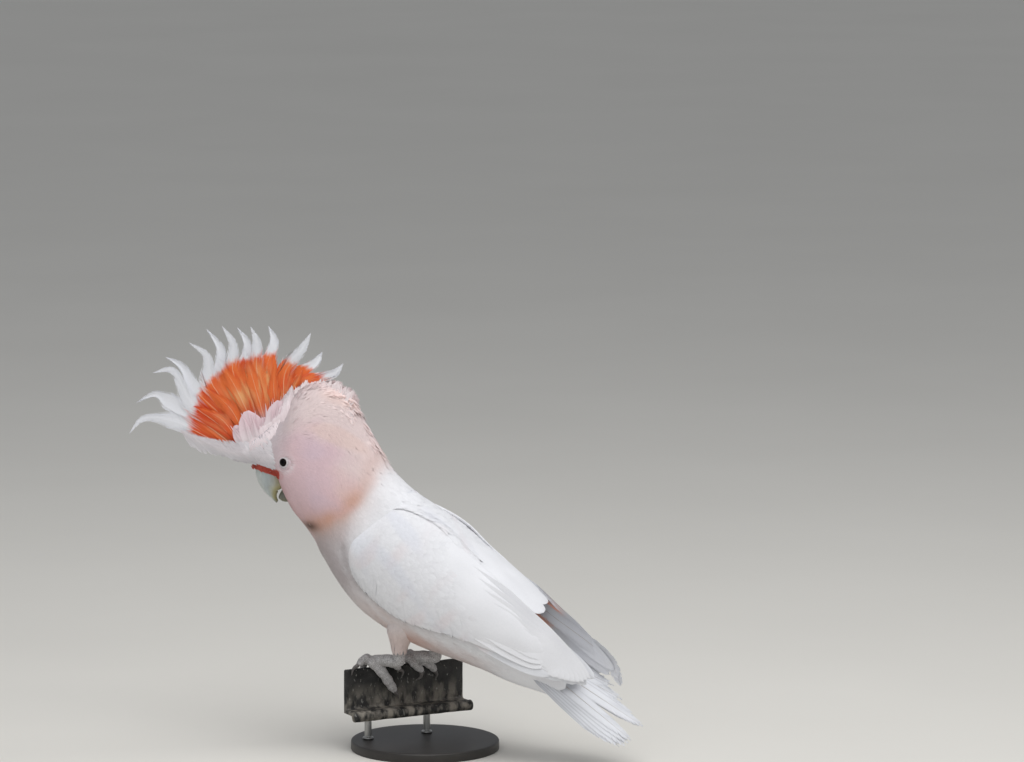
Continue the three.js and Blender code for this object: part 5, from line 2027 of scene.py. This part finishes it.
def rim_outline():
    """The rim's section: (out, z) points, closed."""
    w, foot = RIM_WALL / 2, -RIM_HEIGHT
    ledge = foot + RIM_WALL
    fillet = arc(w + 2, ledge + 2, -2, 0.1, math.pi / 2, 6)
    return np.array(
        arc(0, -w, w, math.pi, 0, 13)
        + upright_line(w, -w - 1.5, ledge + 2.4, 18)
        + fillet
        + level_line(w + 3, LEDGE_WIDTH - BEAD_RADIUS, ledge, 7)
        + arc(LEDGE_WIDTH, ledge - BEAD_RADIUS + 1, BEAD_RADIUS, 2.3, -2.3, 26)
        + level_line(LEDGE_WIDTH - BEAD_RADIUS, -w + 0.6, foot, 8)
        + upright_line(-w, foot + 0.6, -w - 1.5, 20)
    )


def rim():
    """The cut length of rim, dented all over and rounded a little at its two ends."""
    outline = rim_outline()
    steps = np.linspace(-RIM_LENGTH / 2, RIM_LENGTH / 2, 150)[:, None]
    inset = 0.5 * (1 - np.clip((RIM_LENGTH / 2 - np.abs(steps)) / 0.8, 0, 1)) ** 2
    grid = stacked(steps + RIM_OFFSET, outline[:, 0], outline[:, 1])
    hollow = np.roll(outline, -1, 0) - np.roll(outline, 1, 0)
    inward = unit(stacked(-hollow[:, 1], hollow[:, 0]))
    dents = 0.22 * noise(grid, 16, 61) + 0.1 * noise(grid, 5, 62) + 0.05 * noise(grid, 2, 63)
    grid[..., 1:] += inward * (dents - inset)[..., None]
    v = grid.reshape(-1, 3)
    first = np.arange(len(outline))[None]
    ends = [first[:, ::-1], first + len(v) - len(outline)]
    quads = grid_faces(*grid.shape[:2], wrap=True)
    return mesh_object("rim_metal", on_rim(v[:, 0], v[:, 1], v[:, 2]), [quads] + ends)


def base():
    """The stand's disc, with a rounded upper edge."""
    outline = (
        [(r, 0) for r in (2, 20, 40, 58)]
        + [(BASE_RADIUS - 0.6, 0), (BASE_RADIUS, 0.6)]
        + arc(BASE_RADIUS - 1.5, BASE_HEIGHT - 1.5, 1.5, 0, math.pi / 2, 7)
        + [(r, BASE_HEIGHT) for r in (58, 40, 20, 8, 2)]
    )
    return lathe("base_disc", outline, (0, 0, 0), 128)


def rod(word, along):
    """One of the stand's rods, with a foot on the base."""
    x, y, _ = on_rim(along, 0, 0) / MILLIMETRE
    low, high = BASE_HEIGHT + 0.1, RIM_TOP - RIM_HEIGHT - 0.1
    outline = [
        (ROD_RADIUS + 1.6, low), (ROD_RADIUS + 1.6, low + 1.6), (ROD_RADIUS + 1.2, low + 2.0),
        (ROD_RADIUS, low + 2.3), *upright_line(ROD_RADIUS, low + 3, high - 0.6, 8),
        (ROD_RADIUS - 0.3, high - 0.2), (ROD_RADIUS - 0.6, high),
    ]
    return lathe(f"rod_{word}", outline, (x, y, 0), 40)


rim_piece, base_piece = rim(), base()
rod_pieces = {word: rod(word, along) for word, along in ROD_PLACES.items()}

# ---------- Materials ----------


def material(name, rough, **inputs):
    """A material, its tree and its shader, with these values in the shader's inputs."""
    m = bpy.data.materials.new(name)
    m.use_nodes = True
    shader = m.node_tree.nodes["Principled BSDF"]
    shader.inputs["Roughness"].default_value = rough
    for key, value in inputs.items():
        shader.inputs[key.replace("_", " ")].default_value = value
    return m, m.node_tree, shader


def noise_node(tree, scale, detail=3.0, stretch=None):
    """Noise in the object's own metres. stretch scales the three directions."""
    where = tree.nodes.new("ShaderNodeTexCoord")
    texture = tree.nodes.new("ShaderNodeTexNoise")
    texture.inputs["Scale"].default_value = scale
    texture.inputs["Detail"].default_value = detail
    source = where.outputs["Object"]
    if stretch:
        mapping = tree.nodes.new("ShaderNodeMapping")
        mapping.inputs["Scale"].default_value = stretch
        tree.links.new(source, mapping.inputs["Vector"])
        source = mapping.outputs["Vector"]
    tree.links.new(source, texture.inputs["Vector"])
    return texture.outputs["Fac"]


def ranged(tree, value, low, high, to_low=0.0, to_high=1.0):
    """A value that runs from low to high, as one from to_low to to_high."""
    node = tree.nodes.new("ShaderNodeMapRange")
    for key, x in (("From Min", low), ("From Max", high), ("To Min", to_low), ("To Max", to_high)):
        node.inputs[key].default_value = x
    tree.links.new(value, node.inputs["Value"])
    return node.outputs["Result"]


def computed(tree, operation, a, b=0.0):
    """A sum, product or other function of values, which are numbers or sockets."""
    node = tree.nodes.new("ShaderNodeMath")
    node.operation = operation
    for socket, x in zip(node.inputs, (a, b)):
        if isinstance(x, float):
            socket.default_value = x
        else:
            tree.links.new(x, socket)
    return node.outputs["Value"]


def tinted(tree, shader, noise_value, low, high):
    """The mesh's own Tint, made lighter and darker by a noise, as the base colour."""
    tint = tree.nodes.new("ShaderNodeVertexColor")
    tint.layer_name = "Tint"
    scale = tree.nodes.new("ShaderNodeVectorMath")
    scale.operation = "SCALE"
    tree.links.new(tint.outputs["Color"], scale.inputs[0])
    tree.links.new(ranged(tree, noise_value, 0.3, 0.7, low, high), scale.inputs["Scale"])
    tree.links.new(scale.outputs["Vector"], shader.inputs["Base Color"])


def bumped_by(tree, shader, height, distance):
    """Small relief, distance metres deep where the height is 1."""
    bump = tree.nodes.new("ShaderNodeBump")
    bump.inputs["Distance"].default_value = distance
    tree.links.new(height, bump.inputs["Height"])
    tree.links.new(bump.outputs["Normal"], shader.inputs["Normal"])


def mixed_colour(tree, factor, a, b):
    """From colour a at factor 0 to b at 1."""
    node = tree.nodes.new("ShaderNodeMix")
    node.data_type = "RGBA"
    sockets = [k for k in node.inputs if k.type == "RGBA"]
    tree.links.new(factor, node.inputs["Factor"])
    for socket, x in zip(sockets, (a, b)):
        if hasattr(x, "links"):
            tree.links.new(x, socket)
        else:
            socket.default_value = (*x, 1)
    return next(k for k in node.outputs if k.type == "RGBA")


def plumage_material(name, pitch, depth, rough=0.72):
    """Vane colour with fine barb lines. pitch is the barbs' spacing in millimetres."""
    m, tree, shader = material(name, rough, Sheen_Weight=0.25, Sheen_Roughness=0.4, Specular_IOR_Level=0.25)
    tinted(tree, shader, noise_node(tree, 700.0, 2.0), 0.985, 1.015)
    barb = tree.nodes.new("ShaderNodeAttribute")
    barb.attribute_name = "Barb"
    phase = computed(tree, "MULTIPLY", barb.outputs["Fac"], 2 * math.pi / pitch)
    wave = ranged(tree, computed(tree, "SINE", phase), -1.0, 1.0)
    fine = computed(tree, "ADD", wave, noise_node(tree, 900.0, 3.0))
    bumped_by(tree, shader, fine, depth)
    return m


def grained(name, rough, gloss, tint, bump=None):
    """A look in the mesh's own Tint. tint is its noise and how dark and light it makes it, and bump
    its noise and depth."""
    m, tree, shader = material(name, rough, Specular_IOR_Level=gloss)
    texture, low, high = tint
    tinted(tree, shader, noise_node(tree, *texture), low, high)
    if bump:
        texture, depth = bump
        bumped_by(tree, shader, noise_node(tree, *texture), depth)
    return m


coat_look = plumage_material("coat_look", 0.8, 0.00003)
vane_look = plumage_material("vane_look", 1.0, 0.00002, 0.65)
skin_look = grained("skin_look", 0.85, 0.2, ((350.0,), 0.9, 1.05), ((600.0, 5.0), 0.0002))
lid_look = grained("lid_look", 0.6, 0.35, ((900.0, 4.0), 0.9, 1.06), ((1400.0, 4.0), 0.0001))
eye_look = grained("eye_look", 0.05, 0.12, ((1500.0,), 0.9, 1.1))
horn_look = grained(
    "horn_look", 0.42, 0.45,
    ((260.0, 5.0, (1.0, 1.0, 0.35)), 0.88, 1.08), ((900.0, 5.0, (1.0, 1.0, 0.3)), 0.00012),
)
foot_look = grained("foot_look", 0.78, 0.3, ((500.0, 4.0), 0.85, 1.12), ((1500.0, 4.0), 0.00012))
claw_look = grained("claw_look", 0.4, 0.45, ((700.0, 4.0), 0.8, 1.2), ((1200.0, 4.0), 0.00006))

METAL_DARK, METAL_GREY = rgb(34, 34, 33), rgb(62, 61, 60)
CRUST, FLECK = rgb(150, 144, 134), rgb(176, 174, 168)
# Heights in metres over the floor between which the crust comes up.
CRUST_BARE, CRUST_FULL = 0.058, 0.036
PAINT_DARK, PAINT_WORN = rgb(44, 41, 39), rgb(54, 51, 48)
STEEL_DARK, STEEL_LIGHT = rgb(150, 150, 148), rgb(186, 186, 184)
FLOOR_DARK, FLOOR_LIGHT = rgb(220, 217, 210), rgb(227, 224, 217)


def weathered_metal():
    """Cloudy dark metal with pale crust low down and pale flecks."""
    m, tree, shader = material("weathered_metal", 0.6, Metallic=0.35, Specular_IOR_Level=0.4)
    where = tree.nodes.new("ShaderNodeTexCoord")
    parts = tree.nodes.new("ShaderNodeSeparateXYZ")
    tree.links.new(where.outputs["Object"], parts.inputs["Vector"])
    low_down = ranged(tree, parts.outputs["Z"], CRUST_BARE, CRUST_FULL)
    blotch = noise_node(tree, 150.0, 8.0, (1.0, 1.0, 0.45))
    crust = computed(tree, "MULTIPLY", ranged(tree, blotch, 0.42, 0.62), low_down)
    flecks = ranged(tree, noise_node(tree, 420.0, 6.0, (1.0, 1.0, 0.6)), 0.62, 0.72, 0.0, 0.6)
    cloudy = ranged(tree, noise_node(tree, 60.0, 6.0), 0.35, 0.65)
    worn = mixed_colour(tree, crust, mixed_colour(tree, cloudy, METAL_DARK, METAL_GREY), CRUST)
    tree.links.new(mixed_colour(tree, flecks, worn, FLECK), shader.inputs["Base Color"])
    tree.links.new(ranged(tree, blotch, 0.3, 0.7, 0.45, 0.85), shader.inputs["Roughness"])
    bumped_by(tree, shader, computed(tree, "ADD", blotch, noise_node(tree, 700.0, 6.0)), 0.0006)
    return m


def dark_paint():
    m, tree, shader = material("satin_dark_paint", 0.45)
    cloudy = ranged(tree, noise_node(tree, 40.0, 5.0), 0.3, 0.7)
    tree.links.new(mixed_colour(tree, cloudy, PAINT_DARK, PAINT_WORN), shader.inputs["Base Color"])
    bumped_by(tree, shader, noise_node(tree, 900.0, 4.0), 0.00004)
    return m


def brushed_steel():
    m, tree, shader = material("brushed_steel", 0.35, Metallic=0.9)
    grain = noise_node(tree, 900.0, 4.0, (1.0, 1.0, 0.03))
    tree.links.new(mixed_colour(tree, grain, STEEL_DARK, STEEL_LIGHT), shader.inputs["Base Color"])
    bumped_by(tree, shader, grain, 0.00003)
    return m


def pale_floor():
    m, tree, shader = material("pale_floor", 0.9, Specular_IOR_Level=0.2)
    cloudy = noise_node(tree, 3.0, 5.0)
    tree.links.new(mixed_colour(tree, cloudy, FLOOR_DARK, FLOOR_LIGHT), shader.inputs["Base Color"])
    bumped_by(tree, shader, noise_node(tree, 300.0, 3.0), 0.0001)
    return m


metal_look, base_look = weathered_metal(), dark_paint()
rod_look, floor_look = brushed_steel(), pale_floor()

# ---------- Pieces, and what they stand for ----------


def dressed(ob, look, slot, *nodes):
    """Gives a piece its look, hangs it from the root and hides the CAD nodes that it stands for. slot is
    not used.
    """
    ob.data.materials.append(look)
    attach(ob, "root")
    if nodes:
        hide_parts(*nodes)


dressed(skin, skin_look, "body_plumage", "head", "neck", "trunk", "thigh_left", "thigh_right")
COAT_SLOTS = {
    "coat_face": "face_plumage",
    "coat_cheek": "face_plumage",
    "coat_ear": "face_plumage",
    "coat_nape": "collar_plumage",
}
for ob in coats + thigh_coats:
    dressed(ob, coat_look, COAT_SLOTS.get(ob.name, "body_plumage"))
for word in SIDES:
    coverts, flight = wing_pieces[word]
    dressed(coverts, coat_look, "wing_feathers", f"wing_{word}")
    dressed(flight, vane_look, "wing_feathers")
    eye, lid = eye_pieces[word]
    dressed(eye, eye_look, "eyes", f"eye_{word}")
    dressed(lid, lid_look, "face_plumage")
    feet, nails = foot_pieces[word]
    dressed(feet, foot_look, "foot_skin", f"foot_{word}")
    dressed(nails, claw_look, "claws", *[f"claw_{word}_{toe}" for toe in TOES[word]])
dressed(lobe, vane_look, "wing_feathers", "tertials_right")
dressed(scapulars, coat_look, "wing_feathers")
dressed(tail, vane_look, "tail_feathers", "tail")
dressed(tail_coverts, vane_look, "tail_feathers")
dressed(crest, vane_look, "crest_feathers", "crest")
dressed(plumes, vane_look, "face_plumage")
dressed(nape_plumes, vane_look, "face_plumage")
dressed(cere_band, coat_look, "face_plumage")
for node, ob in bill_pieces.items():
    dressed(ob, horn_look, "bill_horn", node)
dressed(rim_piece, metal_look, "perch_metal", "perch_rim")
dressed(base_piece, base_look, "stand_base_metal", "stand_base")
for word, ob in rod_pieces.items():
    dressed(ob, rod_look, "stand_rod_metal", f"stand_rod_{word}")

# ---------- Floor, light and camera ----------

bpy.ops.mesh.primitive_plane_add(size=80)
floor = bpy.context.object
floor.name = "floor"
floor.data.materials.append(floor_look)

world = bpy.data.worlds.new("soft_sky")
bpy.context.scene.world = world
world.use_nodes = True
sky = world.node_tree.nodes["Background"]
sky.inputs["Color"].default_value = (0.92, 0.95, 1.0, 1)
sky.inputs["Strength"].default_value = 0.36


def lamp(name, size, energy, location, tilt, turn):
    """A square lamp that looks down, tilted forward and turned by these degrees."""
    light = bpy.data.lights.new(name, "AREA")
    light.size = size
    light.energy = energy
    ob = bpy.data.objects.new(name, light)
    bpy.context.scene.collection.objects.link(ob)
    ob.location = location
    ob.rotation_euler = (math.radians(tilt), 0, math.radians(turn))


lamp("key", 1.6, 26, (0.25, -0.45, 1.9), 14, 8)
lamp("fill", 2.2, 11, (-0.5, -2.6, 1.5), 63, -11)
lamp("glint", 0.12, 0.5, (0.35, -1.2, 1.15), 52, 20)

camera = bpy.data.objects.new("camera", bpy.data.cameras.new("camera"))
bpy.context.scene.collection.objects.link(camera)
camera.location = (0.07385, -4.8994, 1.04779)
camera.rotation_euler = (math.radians(81.5), 0, 0)
camera.data.lens = 206.8
camera.data.sensor_width = 36
bpy.context.scene.camera = camera
bpy.context.scene.view_settings.view_transform = "Standard"
